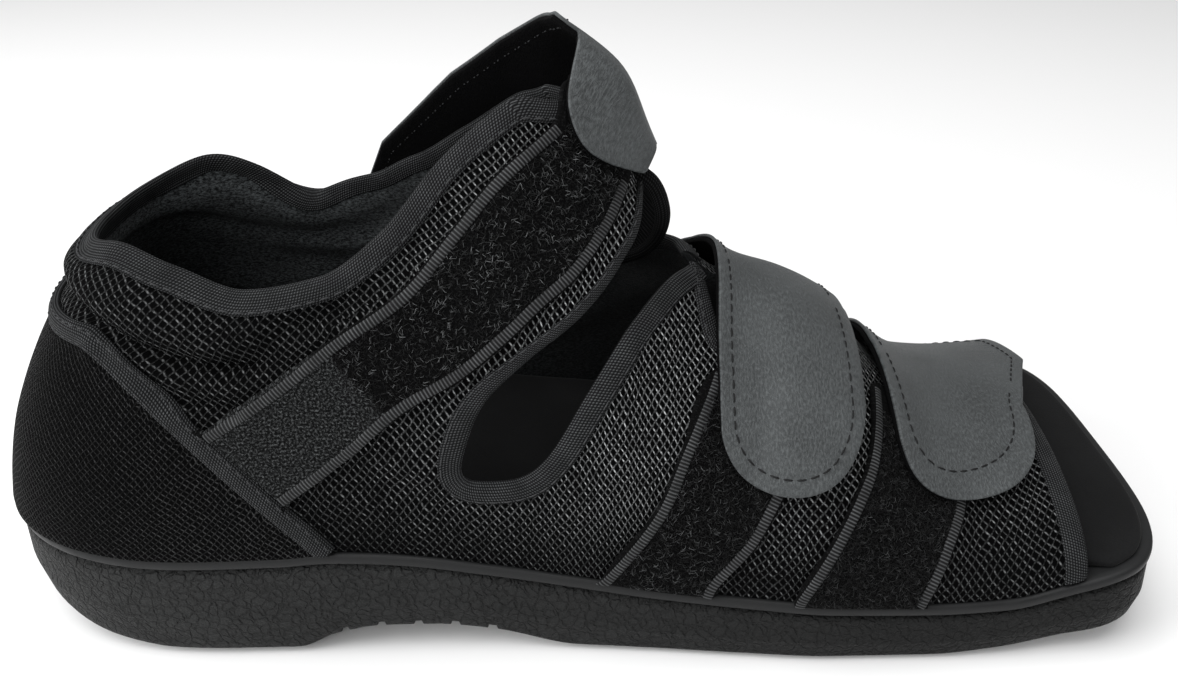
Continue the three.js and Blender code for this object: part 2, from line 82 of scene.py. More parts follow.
def softbox(name, place, aim, size, power):
    """Square area light at place, turned towards aim."""
    lamp = bpy.data.lights.new(name, "AREA")
    lamp.shape, lamp.size, lamp.energy = "SQUARE", size, power
    obj = bpy.data.objects.new(name, lamp)
    obj.location = place
    obj.rotation_euler = (Vector(aim) - Vector(place)).to_track_quat("-Z", "Y").to_euler()
    bpy.context.scene.collection.objects.link(obj)


softbox("light_above", (-0.25, -0.15, 1.25), (0, 0, 0.05), 1.1, 14)
softbox("light_front", (-0.45, -1.25, 0.75), (-0.05, 0, 0.05), 0.9, 7)
softbox("light_heel", (-1.15, -0.35, 0.65), (0, 0, 0.05), 0.7, 9)
world = bpy.data.worlds.new("studio")
world.use_nodes = True
world.node_tree.nodes["Background"].inputs["Color"].default_value = (1, 1, 1, 1)
world.node_tree.nodes["Background"].inputs["Strength"].default_value = 0.48
bpy.context.scene.world = world
bpy.context.scene.view_settings.view_transform = "Standard"

# Outsole
# One block of moulded foam, cast with a pebbled wall, a raised waist and a
# rolled-up toe.  Ribs cross its underside and show at the side of the waist.
LENGTH, BALL, HEEL, INSTEP = 290.0, 104.0, 33.0, 137.0
MIDDLE_X = 145.1              # the shared frame starts under the middle of the sole
HEEL_X, TOE_X = 62.0, 266.0   # between these the sole's plan has straight sides
HEEL_REACH, TOE_REACH = 63.0, 25.5
GROOVE_WIDE, GROOVE_SLOPE, GROOVE_DEEP = 2.6, 0.35, 2.0
UNDER_SKIN = 3.3              # the foam's top lies this far below the edge of the skin


def curve(rows, column, along=LENGTH, up_by=1.0):
    """Monotone cubic through a table's rows (Fritsch and Carlson): between two
    rows the height is a cubic with harmonic-mean slopes, so it never overshoots."""
    table = np.asarray(rows, float)
    at, value = table[:, 0] * along, table[:, column] * up_by
    gap = np.diff(at)
    rate = np.diff(value) / gap
    slope = np.zeros(len(at))
    slope[0], slope[-1] = rate[0], rate[-1]
    a, b = 2 * gap[1:] + gap[:-1], gap[1:] + 2 * gap[:-1]
    same = rate[:-1] * rate[1:] > 0
    before, after = np.where(same, rate[:-1], 1), np.where(same, rate[1:], 1)
    slope[1:-1] = np.where(same, (a + b) / (a / before + b / after), 0)

    def height(place):
        p = np.clip(np.asarray(place, float), at[0], at[-1])
        i = np.clip(np.searchsorted(at, p) - 1, 0, len(gap) - 1)
        s = (p - at[i]) / gap[i]
        return ((2 * s**3 - 3 * s**2 + 1) * value[i] + (s**3 - 2 * s**2 + s) * gap[i] * slope[i]
                + (3 * s**2 - 2 * s**3) * value[i + 1] + (s**3 - s**2) * gap[i] * slope[i + 1])
    return height


# shares of the length, of BALL for the half width, and of HEEL for the top edge
# and the underside
sole_rows = [
    (0.000, 0.437, 1.010, 0.440), (0.050, 0.440, 0.985, 0.165), (0.100, 0.443, 0.965, 0.045),
    (0.155, 0.444, 0.952, 0.000), (0.260, 0.444, 0.964, 0.000), (0.295, 0.442, 0.982, 0.135),
    (0.335, 0.438, 0.960, 0.200), (0.380, 0.436, 0.910, 0.200), (0.430, 0.438, 0.832, 0.150),
    (0.505, 0.451, 0.730, 0.000), (0.570, 0.465, 0.645, 0.000), (0.640, 0.484, 0.594, 0.000),
    (0.720, 0.500, 0.551, 0.000), (0.800, 0.500, 0.536, 0.000), (0.860, 0.494, 0.550, 0.045),
    (0.910, 0.482, 0.642, 0.115), (0.960, 0.474, 0.775, 0.185), (1.000, 0.471, 0.833, 0.240)]
half_width = curve(sole_rows, 1, up_by=BALL)
sole_top = curve(sole_rows, 2, up_by=HEEL)
sole_under = curve(sole_rows, 3, up_by=HEEL)

# first edge of each tread rib's groove, as in the mould
groove_at = (0.076 + 0.827 * np.arange(27) / 26) * LENGTH
groove_share = groove_at / LENGTH
groove_at = groove_at[~(((groove_share > 0.152) & (groove_share < 0.259))
                        | ((groove_share > 0.641) & (groove_share < 0.745)))]
groove_section = np.array([0, GROOVE_SLOPE, GROOVE_WIDE - GROOVE_SLOPE, GROOVE_WIDE])
groove_edges = (groove_at[:, None] + groove_section).ravel()

turn = np.sin(np.linspace(0, np.pi / 2, 30)) ** 0.9
heel_grooves = (HEEL_X - groove_edges[groove_edges < HEEL_X]) / HEEL_REACH
side_grooves = groove_edges[(groove_edges > HEEL_X + 1) & (groove_edges < TOE_X - 1)]
heel_share = np.unique(np.concatenate([turn, heel_grooves]).round(4))[::-1]
side_x = np.unique(np.concatenate([np.linspace(HEEL_X, TOE_X, 103)[1:-1], side_grooves]).round(2))
toe_share = turn


def plan(inset):
    """Near edge of the sole moved in by inset: |c|^n + |y/w|^n = 1 round the
    heel (n 2.5) and the toe (n 3.3), and the half width between them.  A pair
    gives one inset for the heel and the sides and one for the toe's end."""
    inset, toe_inset = np.broadcast_to(inset, 2)
    toe_inset = inset + (toe_inset - inset) * np.clip(toe_share / 0.35, 0, 1) ** 1.5
    x = np.concatenate([HEEL_X - (HEEL_REACH - inset) * heel_share, side_x,
                        TOE_X + (TOE_REACH - toe_inset) * toe_share])
    y = np.concatenate([(half_width(HEEL_X) - inset) * np.clip(1 - heel_share**2.5, 0, 1) ** 0.4,
                        half_width(side_x) - inset,
                        (half_width(TOE_X) - toe_inset) * np.clip(1 - toe_share**3.3, 0, 1) ** (1 / 3.3)])
    return x, y


def metres(points):
    """Millimetres from the heel's end to metres in the shared frame."""
    return (np.asarray(points, float) - (MIDDLE_X, 0, 0)) / 1000


def make_piece(name, points, faces, finishes, marks=None, pattern=None, tone=None, crease=40):
    """Mesh object from points in millimetres and faces of four corners (a
    corner may repeat).  marks gives each face its finish, pattern each point its
    place on the cloth in millimetres, and tone each point a shade from 0 to 1."""
    faces = np.asarray(faces, int)
    mesh = bpy.data.meshes.new(name)
    mesh.from_pydata(metres(points).tolist(), [], faces.tolist())
    for finish in finishes:
        mesh.materials.append(finish)
    if marks is not None:
        mesh.polygons.foreach_set("material_index", np.asarray(marks, np.int32))
    corner = faces.ravel()
    if pattern is not None:
        layer = mesh.uv_layers.new(name="cloth")
        layer.data.foreach_set("uv", (np.asarray(pattern, float)[corner] / 1000).astype(np.float32).ravel())
    if tone is not None:
        mesh.attributes.new("tone", "FLOAT", "POINT").data.foreach_set("value", np.asarray(tone, np.float32))
    mesh.validate()
    mesh.polygons.foreach_set("use_smooth", np.ones(len(mesh.polygons), bool))
    mesh.set_sharp_from_angle(angle=math.radians(crease))
    obj = bpy.data.objects.new(name, mesh)
    bpy.context.scene.collection.objects.link(obj)
    return obj


def weld(obj, distance=0.00002):
    """Joins points that lie together and turns every face outwards."""
    work = bmesh.new()
    work.from_mesh(obj.data)
    bmesh.ops.remove_doubles(work, verts=work.verts, dist=distance)
    bmesh.ops.dissolve_degenerate(work, edges=work.edges, dist=distance / 4)
    bmesh.ops.recalc_face_normals(work, faces=work.faces)
    work.to_mesh(obj.data)
    work.free()
    return obj


def sheet_faces(rows, columns, start=0):
    """Quads of a grid of rows by columns points, numbered row by row."""
    i, j = np.meshgrid(np.arange(rows - 1), np.arange(columns - 1), indexing="ij")
    a = (start + i * columns + j).ravel()
    return np.stack([a, a + columns, a + columns + 1, a + 1], 1)


def layered(rings):
    """Closed stack of plans.  Each ring is (inset, height at x); a ring is the
    near edge and its mirror image, and the first and last are closed across."""
    points, faces = [], []
    for inset, height in rings:
        x, y = plan(inset)
        z = height(x)
        points.append(np.stack([np.stack([x, -y, z], 1), np.stack([x, y, z], 1)]))
    points = np.array(points)                       # ring, side, place, xyz
    number = np.arange(points.size // 3).reshape(points.shape[:3])
    for side in (0, 1):
        near = number[:, side]
        quads = np.stack([near[:-1, :-1], near[1:, :-1], near[1:, 1:], near[:-1, 1:]], -1)
        faces.append(quads.reshape(-1, 4))
    for ring in (number[0], number[-1]):
        faces.append(np.stack([ring[0, :-1], ring[0, 1:], ring[1, 1:], ring[1, :-1]], -1))
    return points.reshape(-1, 3), np.concatenate(faces)


class Finish:
    """A procedural material: a Principled shader and the nodes that feed it.
    A place on the cloth is read in millimetres, or else the place in the shoe."""

    def __init__(self, name, roughness, **sockets):
        self.made = bpy.data.materials.new(name)
        self.made.use_nodes = True
        self.tree = self.made.node_tree
        self.shader = self.tree.nodes["Principled BSDF"]
        self.shader.inputs["Roughness"].default_value = roughness
        for socket, value in sockets.items():
            self.shader.inputs[socket.replace("_", " ").title().replace("Ior", "IOR")].default_value = value

    def node(self, kind, settings=None, **inputs):
        made = self.tree.nodes.new("ShaderNode" + kind)
        for key, value in (settings or {}).items():
            setattr(made, key, value)
        for key, value in inputs.items():
            self.give(made.inputs[key.replace("_", " ")], value)
        return made

    def give(self, socket, value):
        if isinstance(value, bpy.types.NodeSocket):
            self.tree.links.new(value, socket)
        else:
            socket.default_value = value

    def sum(self, kind, *values):
        made = self.tree.nodes.new("ShaderNodeMath")
        made.operation = kind
        for socket, value in zip(made.inputs, values):
            self.give(socket, value)
        return made.outputs[0]

    def ease(self, value, low, high, to_low=0.0, to_high=1.0):
        made = self.node("MapRange", {"interpolation_type": "SMOOTHSTEP"}, Value=value)
        for key, number in (("From Min", low), ("From Max", high), ("To Min", to_low), ("To Max", to_high)):
            made.inputs[key].default_value = number
        return made.outputs[0]

    def place(self, on_cloth=True):
        """Place in millimetres, on the cloth or in the shoe."""
        source = self.node("TexCoord").outputs["UV" if on_cloth else "Object"]
        return self.node("VectorMath", {"operation": "SCALE"}, Vector=source, Scale=1000.0).outputs[0]

    def split(self, place):
        made = self.node("SeparateXYZ", Vector=place)
        return made.outputs[0], made.outputs[1], made.outputs[2]

    def noise(self, place, size, detail=2.0, rough=0.5, stretch=None):
        if stretch:
            place = self.node("VectorMath", {"operation": "MULTIPLY"}, Vector=place).outputs[0]
            place.node.inputs[1].default_value = stretch
        made = self.node("TexNoise", Vector=place, Scale=1.0 / size, Detail=detail, Roughness=rough)
        return made.outputs[0]

    def wave(self, value, period):
        """Sine wave from 0 to 1 along value."""
        sine = self.sum("SINE", self.sum("MULTIPLY", value, 2 * math.pi / period))
        return self.sum("MULTIPLY_ADD", sine, 0.5, 0.5)

    def blend(self, share, dark, light):
        made = self.node("Mix", {"data_type": "RGBA"})
        self.give(made.inputs[0], share)
        for socket, colour in ((made.inputs[6], dark), (made.inputs[7], light)):
            self.give(socket, colour if isinstance(colour, bpy.types.NodeSocket) else (*colour, 1))
        return made.outputs[2]

    def colour(self, socket):
        self.tree.links.new(socket, self.shader.inputs["Base Color"])

    def rough(self, socket):
        self.tree.links.new(socket, self.shader.inputs["Roughness"])

    def bump(self, height, depth, strength=1.0):
        """height from 0 to 1 stands for depth in millimetres."""
        made = self.node("Bump", Height=height, Distance=depth / 1000, Strength=strength)
        if self.shader.inputs["Normal"].is_linked:
            self.tree.links.new(self.shader.inputs["Normal"].links[0].from_socket, made.inputs["Normal"])
        self.tree.links.new(made.outputs[0], self.shader.inputs["Normal"])


foam = Finish("pebbled_foam", 0.62, specular_ior_level=0.17)
where = foam.place(False)
pebble = foam.node("TexVoronoi", {"feature": "DISTANCE_TO_EDGE"}, Scale=1 / 2.6, Randomness=1.0)
bent = foam.node("VectorMath", {"operation": "ADD"}, Vector=where)
stir = foam.node("TexNoise", Vector=where, Scale=1 / 3.0, Detail=2.0)
swerve = foam.node("VectorMath", {"operation": "SCALE"}, Vector=stir.outputs["Color"], Scale=3.0)
foam.give(bent.inputs[1], swerve.outputs[0])
foam.give(pebble.inputs["Vector"], bent.outputs[0])
grain = foam.ease(pebble.outputs["Distance"], 0.0, 0.16)
specks = foam.noise(where, 0.5, 3.0, 0.7)
patches = foam.noise(where, 22.0, 3.0)
heel_light_paint = foam.ease(foam.split(where)[0], -90, 110, 1.0, 0.35)      # painted light: the foam is painted paler towards the heel, where more light falls
pale_share = foam.sum("MULTIPLY_ADD", patches, 0.62, foam.sum("MULTIPLY", grain, 0.3))
foam.colour(foam.blend(foam.sum("MULTIPLY", pale_share, heel_light_paint),
                       (0.0015, 0.0016, 0.0016), (0.022, 0.0228, 0.0228)))
foam.rough(foam.ease(specks, 0.3, 0.7, 0.52, 0.74))
foam.bump(foam.sum("ADD", grain, foam.sum("MULTIPLY", specks, 0.6)), 0.4, 1.0)
foam.bump(foam.noise(where, 1.7, 2.0, 0.6), 0.75, 1.0)

waist = (groove_at / LENGTH > 0.276) & (groove_at / LENGTH < 0.455)


def groove_depth(x, through_only):
    """Depth at x: GROOVE_DEEP in a groove, less on its slopes, and 0 between the
    grooves.  Only the waist's grooves run through to the wall."""
    at = groove_at[waist] if through_only else groove_at
    inside = x[:, None] - at
    slopes = np.minimum(inside / GROOVE_SLOPE, (GROOVE_WIDE - inside) / GROOVE_SLOPE)
    return GROOVE_DEEP * np.clip(slopes, 0, 1).max(1)


def wall_height(share):
    """Height at x of the wall's line at a share of the way up."""
    def height(x):
        foot = sole_under(x) + 0.6 * groove_depth(x, True)
        return foot * (1 - share) + share * (sole_top(x) - UNDER_SKIN)
    return height


wall_share = np.array([0, 0.02, 0.05, 0.09, 0.14, 0.22, 0.32, 0.45, 0.58, 0.70, 0.82, 0.90, 0.95, 0.98, 1.0])
wall = []
for share in wall_share:
    # the wall is fullest at 0.45 of its height, and rounded at its foot and its top
    inset = float(np.interp(share, [0, 0.45, 1], [0.7, -0.5, 0.2]) + 2.6 * (1 - min(share / 0.14, 1)) ** 2.2
                  + 1.7 * max(0, (share - 0.92) / 0.08) ** 2)
    wall.append((inset, wall_height(share)))
points, faces = layered(wall)
faces = faces[: -2 * (len(plan(0)[0]) - 1)]         # the wall without its two closing strips
top_x, top_y = plan(wall[-1][0])
under_x, under_y = plan(wall[0][0])
in_by = np.array([0, 4, 8.6, 9.0, 16, 30])
narrowed = np.minimum(1, under_y[:, None] / 32)
reach = np.clip(under_y[:, None] - in_by * narrowed, 0, None)
reach = np.concatenate([-reach, np.zeros((len(reach), 1)), reach[:, ::-1]], 1)
ends = np.abs(reach) > np.abs(under_y[:, None]) - 8.8 * narrowed
depth = np.where(ends, 0.6 * groove_depth(under_x, True)[:, None], groove_depth(under_x, False)[:, None])
under_z = sole_under(under_x)[:, None] + depth
under = np.stack([np.broadcast_to(under_x[:, None], reach.shape), reach, under_z], -1)
top = np.stack([np.stack([top_x, s * top_y, sole_top(top_x) - UNDER_SKIN], 1) for s in (-1, 1)], 1)
points = np.concatenate([points, under.reshape(-1, 3), top.reshape(-1, 3)])
start = len(points) - under.size // 3 - top.size // 3
faces = np.concatenate([faces, sheet_faces(*under.shape[:2], start),
                        sheet_faces(*top.shape[:2], start + under.size // 3)])
outsole = weld(make_piece("moulded_outsole", points, faces, [foam.made], crease=50))
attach(outsole, "root")
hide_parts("outsole")

# Platform
# A smooth skin of the same foam that wraps the top of the outsole.  Its rounded
# edge is the clean band under the mesh, and its front is bare beyond the toe.
skin_finish = Finish("smooth_foam", 0.5, specular_ior_level=0.2)
where = skin_finish.place(False)
scuff = skin_finish.noise(where, 9.0, 5.0, 0.6)
fine = skin_finish.noise(where, 0.4, 2.0, 0.6)
skin_finish.colour(skin_finish.blend(scuff, (0.006, 0.0062, 0.0065), (0.015, 0.0155, 0.016)))
skin_finish.rough(skin_finish.ease(scuff, 0.3, 0.7, 0.42, 0.6))
skin_finish.bump(fine, 0.03, 0.5)
skin_finish.bump(skin_finish.noise(where, 5.0, 2.0), 0.25, 0.5)
lip = [(6.0, -3.0), (1.0, -3.0), (0.35, -2.9), (0.05, -2.5), (-0.05, -1.9), (-0.05, -1.2), (0.05, -0.6),
       (0.4, -0.15), (1.1, 0.0), (2.4, -0.1), (4.6, -0.3), (7.0, -0.3)]
points, faces = layered([(inset, lambda x, d=drop: sole_top(x) + d) for inset, drop in lip])
platform = weld(make_piece("sole_skin", points, faces, [skin_finish.made], crease=60))
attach(platform, "root")
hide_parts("platform")

# Insole
# A flat inner sole with a brushed face, cut a little smaller than the platform
# and laid on it; it shows in the open toe and through the collar.
brushed = Finish("brushed_insole", 0.85, sheen_weight=0.05, specular_ior_level=0.1)
where = brushed.place(False)
nap = brushed.noise(where, 0.5, 4.0, 0.7)
worn = brushed.noise(where, 18.0, 3.0)
brushed.colour(brushed.blend(brushed.sum("MULTIPLY", nap, worn),
                             (0.002, 0.002, 0.0022), (0.014, 0.0145, 0.015)))
brushed.bump(nap, 0.12, 0.6)
pad = [(8.0, 0.3), (7.0, 0.3), (6.8, 0.5), (6.8, 1.9), (7.0, 2.5), (7.5, 2.85), (8.4, 2.95),
       (11, 2.9), (16, 2.8)]


def pad_height(up_by):
    """Height at x of the line up_by above the sole, half as much at the toe."""
    return lambda x: sole_top(x) + up_by * (1 - 0.5 * np.clip((x - 262) / 16, 0, 1))


points, faces = layered([((inset, inset - 4.2), pad_height(up_by)) for inset, up_by in pad])
insole = weld(make_piece("inner_sole", points, faces, [brushed.made], crease=60))
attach(insole, "root")
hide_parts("insole")

# Upper
# One wall of padded spacer mesh, about 3 mm thick, lined inside with brushed cloth.
# It is cut and sewn round the last, with a soft roll at the collar, and left
# open at the collar, the throat and the toe.
LAST_X, TOE_EDGE = 276.95, 267.09         # the last's foremost section, and where the mesh is cut
FAN_LENGTH = 75.0                         # way round one half of the heel
WALL, CUT_WALL, OVERLAP = 2.8, 1.2, 1.4
SIDE_LENGTH = LAST_X - HEEL_X
WAY = 2 * (SIDE_LENGTH + FAN_LENGTH)      # from the near toe round the heel to the far toe
ridge_rows = [
    (0.000, 1.095), (0.345, 1.095), (0.448, 1.073), (0.490, 1.000), (0.517, 0.927), (0.545, 0.839),
    (0.572, 0.737), (0.600, 0.650), (0.635, 0.588), (0.683, 0.558), (0.731, 0.500), (0.766, 0.423),
    (0.800, 0.365), (0.831, 0.334), (0.869, 0.318), (0.966, 0.296)]
fullness = [   # share of the length, near rise and lean, far rise and lean
    (0.00, 2.00, 1.18, 2.00, 1.18), (0.38, 2.00, 1.18, 2.00, 1.18), (0.48, 2.00, 1.30, 2.00, 1.30),
    (0.60, 1.93, 1.50, 1.78, 1.45), (0.72, 1.90, 1.75, 1.78, 1.50), (1.00, 1.90, 1.90, 1.90, 1.85)]
back_rows = [
    (0.240, -0.002), (0.307, 0.007), (0.401, 0.023), (0.474, 0.040), (0.547, 0.060), (0.599, 0.076),
    (0.657, 0.093), (0.700, 0.107), (0.745, 0.121), (0.818, 0.131), (1.095, 0.138)]
rim_rows = [
    (-0.050, 0.741), (0.117, 0.743), (0.170, 0.766), (0.212, 0.737), (0.264, 0.699), (0.320, 0.715),
    (0.365, 0.772), (0.415, 0.880), (0.463, 0.953), (0.491, 0.980), (0.508, 1.240)]
fold_rows = [  # share of the length, height of the fold below the collar's roll, fullness of the roll
    (-0.05, 0.668, 0.35), (0.05, 0.670, 0.4), (0.12, 0.672, 0.8), (0.150, 0.652, 1.0), (0.180, 0.622, 1.0),
    (0.215, 0.598, 1.0), (0.250, 0.588, 0.8), (0.290, 0.600, 0.3), (0.34, 0.620, 0.0), (1.00, 0.620, 0.0)]
ridge, rim, fold = (curve(rows, 1, up_by=INSTEP) for rows in (ridge_rows, rim_rows, fold_rows))
roll_full = curve(fold_rows, 2)
heel_back = curve(back_rows, 1, along=INSTEP, up_by=LENGTH)
near_rise, near_lean, far_rise, far_lean = (curve(fullness, c) for c in (1, 2, 3, 4))


def smooth(s):
    """Eased step from 0 to 1: s squared times (3 - 2 s)."""
    s = np.clip(s, 0, 1)
    return s * s * (3 - 2 * s)


def on_last(way, t):
    """Outside of the mesh at rest.  way runs in millimetres from the near toe
    round the heel to the far toe, and t from 0 at the sole to pi/2 at the ridge:
    y = w cos(t)^(2/lean), z = foot + (ridge - foot) sin(t)^(2/rise); round the
    heel a superellipse of power 2.5 turns the same section about x = 62."""
    way, t = np.broadcast_arrays(np.asarray(way, float), np.clip(t, 0, np.pi / 2))
    far = way > WAY / 2
    v = np.where(far, WAY - way, way)
    x0 = np.maximum(LAST_X - v, HEEL_X)
    turned = np.clip((v - SIDE_LENGTH) / FAN_LENGTH, 0, 1)
    phi = (1 - turned) * np.pi / 2
    rise = np.where(far, far_rise(x0), near_rise(x0))
    lean = np.where(far, far_lean(x0), near_lean(x0))
    lean = lean + (2 - lean) * smooth((t - 0.87) / 0.70)
    foot, top = sole_top(x0), ridge(x0)
    share = np.sin(t) ** (2 / rise)
    y = (half_width(x0) - 1.1) * np.maximum(np.cos(t), 0) ** (2 / lean)
    z = foot + (top - foot) * share
    depth = (HEEL_X - heel_back(z)) * np.sqrt(np.clip(1 - share**6, 0, 1))
    x = np.where(turned > 0, HEEL_X - depth * np.maximum(np.cos(phi), 0) ** 0.8, x0)
    y = y * np.where(turned > 0, np.abs(np.sin(phi)) ** 0.8, 1)
    z = z + np.where(turned > 0, (sole_top(x) - foot) * (1 - share) ** 2, 0)
    return np.stack([x, np.where(far, y, -y), z], -1)


def outward(way, t):
    """Unit normal of the last, from points a little to each side."""
    along = on_last(way + 0.5, t) - on_last(way - 0.5, t)
    rising = on_last(way, t + 0.004) - on_last(way, t - 0.004)
    normal = np.cross(rising, along)
    normal /= np.maximum(np.linalg.norm(normal, axis=-1, keepdims=True), 1e-9)
    return normal


def line_distance(line, x, z):
    """Distance in the side view from points to a line of straight pieces."""
    best = np.full(np.shape(x), 1e9)
    for (x0, z0), (x1, z1) in zip(line[:-1], line[1:]):
        dx, dz = x1 - x0, z1 - z0
        s = np.clip(((x - x0) * dx + (z - z0) * dz) / max(dx * dx + dz * dz, 1e-9), 0, 1)
        best = np.minimum(best, np.hypot(x - x0 - s * dx, z - z0 - s * dz))
    return best


def inside_by(outline, x, z):
    """Distance in the side view to a closed outline, positive inside it."""
    closed = np.vstack([outline, outline[:1]])
    inside = np.zeros(np.shape(x), bool)
    for (x0, z0), (x1, z1) in zip(closed[:-1], closed[1:]):
        if z0 != z1:
            inside ^= ((z0 > z) != (z1 > z)) & (x < x0 + (z - z0) * (x1 - x0) / (z1 - z0))
    return np.where(inside, 1, -1) * line_distance(closed, x, z)


def rounded(rows, closed=False, steps=8):
    """Points of a side view, given as shares of LENGTH and INSTEP, joined by a
    Catmull-Rom curve through them all."""
    p = np.asarray(rows, float) * (LENGTH, INSTEP)
    p = np.vstack([p[-1:], p, p[:2]]) if closed else np.vstack([2 * p[0] - p[1], p, 2 * p[-1] - p[-2]])
    s = np.linspace(0, 1, steps, endpoint=False)[:, None, None]
    a, b, c, d = p[:-3], p[1:-2], p[2:-1], p[3:]
    bend = 0.5 * (2 * b + (c - a) * s + (2 * a - 5 * b + 4 * c - d) * s**2 + (3 * b - a - 3 * c + d) * s**3)
    bend = bend.transpose(1, 0, 2).reshape(-1, 2)
    return bend if closed else np.vstack([bend, p[-2:-1]])


# creases, each a line in the side view with its side, depth and width: sewn
# seams pull the mesh in, and the quarter folds where the ankle strap draws it
creases = [
    (-1, rounded([(0.155, 0.610), (0.180, 0.570), (0.206, 0.530), (0.244, 0.514)]), 1.5, 2.0),
    (-1, rounded([(0.245, 0.590), (0.274, 0.612), (0.303, 0.648), (0.330, 0.672)]), 1.0, 2.2),
    (-1, rounded([(0.290, 0.655), (0.330, 0.672), (0.372, 0.730), (0.415, 0.810)]), 0.8, 3.0),
    (-1, rounded([(0.330, 0.400), (0.372, 0.352), (0.400, 0.318)]), 0.7, 4.0),
    (-1, rounded([(0.365, 0.455), (0.392, 0.420), (0.408, 0.395)]), 0.6, 2.6),
    (-1, rounded([(0.640, 0.330), (0.652, 0.400), (0.655, 0.470)]), 0.5, 3.0),
    (1, rounded([(0.215, 0.585), (0.255, 0.563), (0.300, 0.560), (0.340, 0.600)]), 1.1, 2.8),
    (1, rounded([(0.150, 0.470), (0.200, 0.455), (0.250, 0.480)]), 0.7, 3.5),
    (1, rounded([(0.470, 0.330), (0.530, 0.380), (0.585, 0.480)]), 0.6, 4.0)]


def relief(place, far):
    """Creases: depth times exp(-(d/width)^2) inwards, with a low
    soft ridge of a third of the depth on both sides of the trough."""
    total = np.zeros(place.shape[:-1])
    for side, line, depth, width in creases:
        d = line_distance(line, place[..., 0], place[..., 2]) / width
        fold_here = -np.exp(-d**2) + 0.35 * np.exp(-(d - 2.0) ** 2)
        total += np.where(far == (side > 0), depth * fold_here, 0)
    return total


throat_near = [(0.572, 0.960), (0.563, 0.765), (0.545, 0.704), (0.512, 0.642), (0.471, 0.584), (0.435, 0.515),
               (0.418, 0.438), (0.414, 0.385), (0.430, 0.366), (0.462, 0.372), (0.487, 0.414), (0.518, 0.515),
               (0.545, 0.590), (0.562, 0.619), (0.584, 0.641), (0.601, 0.637), (0.614, 0.618), (0.621, 0.575),
               (0.627, 0.545), (0.640, 0.540), (0.650, 0.580), (0.640, 0.960)]
throat_far = [(0.545, 0.990), (0.540, 0.820), (0.528, 0.720), (0.508, 0.645), (0.471, 0.584),
              (0.435, 0.515), (0.418, 0.438), (0.414, 0.385), (0.430, 0.366), (0.462, 0.372), (0.487, 0.414),
              (0.515, 0.505), (0.545, 0.580), (0.585, 0.625), (0.609, 0.680), (0.624, 0.960)]
throat_near, throat_far = rounded(throat_near), rounded(throat_far)


def near_rim(x):
    """The near side's rim, level under the ankle strap."""
    return np.minimum(rim(x), 131.0 - 0.25 * np.clip(x - 138, 0, None))


def far_rim(x):
    """The far side's rim: a short dip ahead of the raised heel tab, and an
    ankle flap lower than the near one."""
    dip = 1.6 * np.exp(-((x - 57) / 8) ** 2) - 3.2 * np.exp(-((x - 75) / 8) ** 2)
    return np.minimum(rim(x), 134.0) + dip - 7.0 * smooth((x - 98) / 26)


rim_x = np.linspace(-14.5, 158, 170)
above_near, above_far = (np.vstack([np.stack([rim_x, side(rim_x)], 1), [(158, 230), (-14.5, 230)]])
                         for side in (near_rim, far_rim))


def cut_away(way, t):
    """How far a point lies within an opening, negative where mesh is left."""
    p = on_last(way, t)
    x, z = p[..., 0], p[..., 2]
    far = np.broadcast_to(np.asarray(way) > WAY / 2, x.shape)
    throat = np.where(far, inside_by(throat_far, x, z), inside_by(throat_near, x, z))
    return np.maximum(np.where(far, inside_by(above_far, x, z), inside_by(above_near, x, z)), throat)


def skin(way, t, deep=0.0, proud=0.0):
    """Place on the upper's wall: deep is 0 on its outside and 1 on its lining,
    and proud lifts it off that face.  The wall is WALL thick and thins to
    CUT_WALL at its cut edges.  The collar's roll is a half wave to the power 0.7
    above a sharp fold, and the far flaps lie OVERLAP lower than the near."""
    base, normal = on_last(way, t), outward(way, t)
    x, z = base[..., 0], base[..., 2]
    far = np.broadcast_to(np.asarray(way) > WAY / 2, x.shape)
    s = np.clip((z - fold(x)) / np.maximum(rim(x) - 2.5 - fold(x), 1), 0, 1)
    swell = roll_full(x) * (1.15 * np.sin(np.pi * s) ** 0.7 - 0.6 * np.exp(-((z - fold(x)) / 2.0) ** 2)
                            + 0.25 * np.exp(-((z - fold(x) + 5) / 2.6) ** 2))
    lapped = smooth((x - 100) / 30) * smooth((180 - x) / 18) * smooth((np.pi / 2 - t) / 0.12)
    lap = np.where(far & (x > 100.05), OVERLAP * lapped, 0)
    wall = WALL
    if np.any(deep):
        from_cut = np.minimum(-cut_away(way, t), np.minimum(way, WAY - way) - (LAST_X - TOE_EDGE))
        wall = CUT_WALL + (WALL - CUT_WALL) * smooth(from_cut / 8)
    lift = (1 - deep) * (3.6 * swell) - deep * (wall + 2.8 * np.maximum(swell, 0))
    lift = lift + relief(base, far) - lap + proud
    return base + normal * np.asarray(lift)[..., None]


def settle(way, t, field, most=np.pi / 2, rounds=4):
    """Slides points over the last on to the line where field is 0 (Newton)."""
    for _ in range(rounds):
        value = field(way, t)
        rate_way = (field(way + 0.3, t) - field(way - 0.3, t)) / 0.6
        rate_t = (field(way, t + 0.002) - field(way, t - 0.002)) / 0.004 / 60
        step = value / np.maximum(rate_way**2 + rate_t**2, 0.04)
        way = way - np.clip(step * rate_way, -1.5, 1.5)
        t = np.clip(t - np.clip(step * rate_t, -1.5, 1.5) / 60, 0, most)
    return way, t


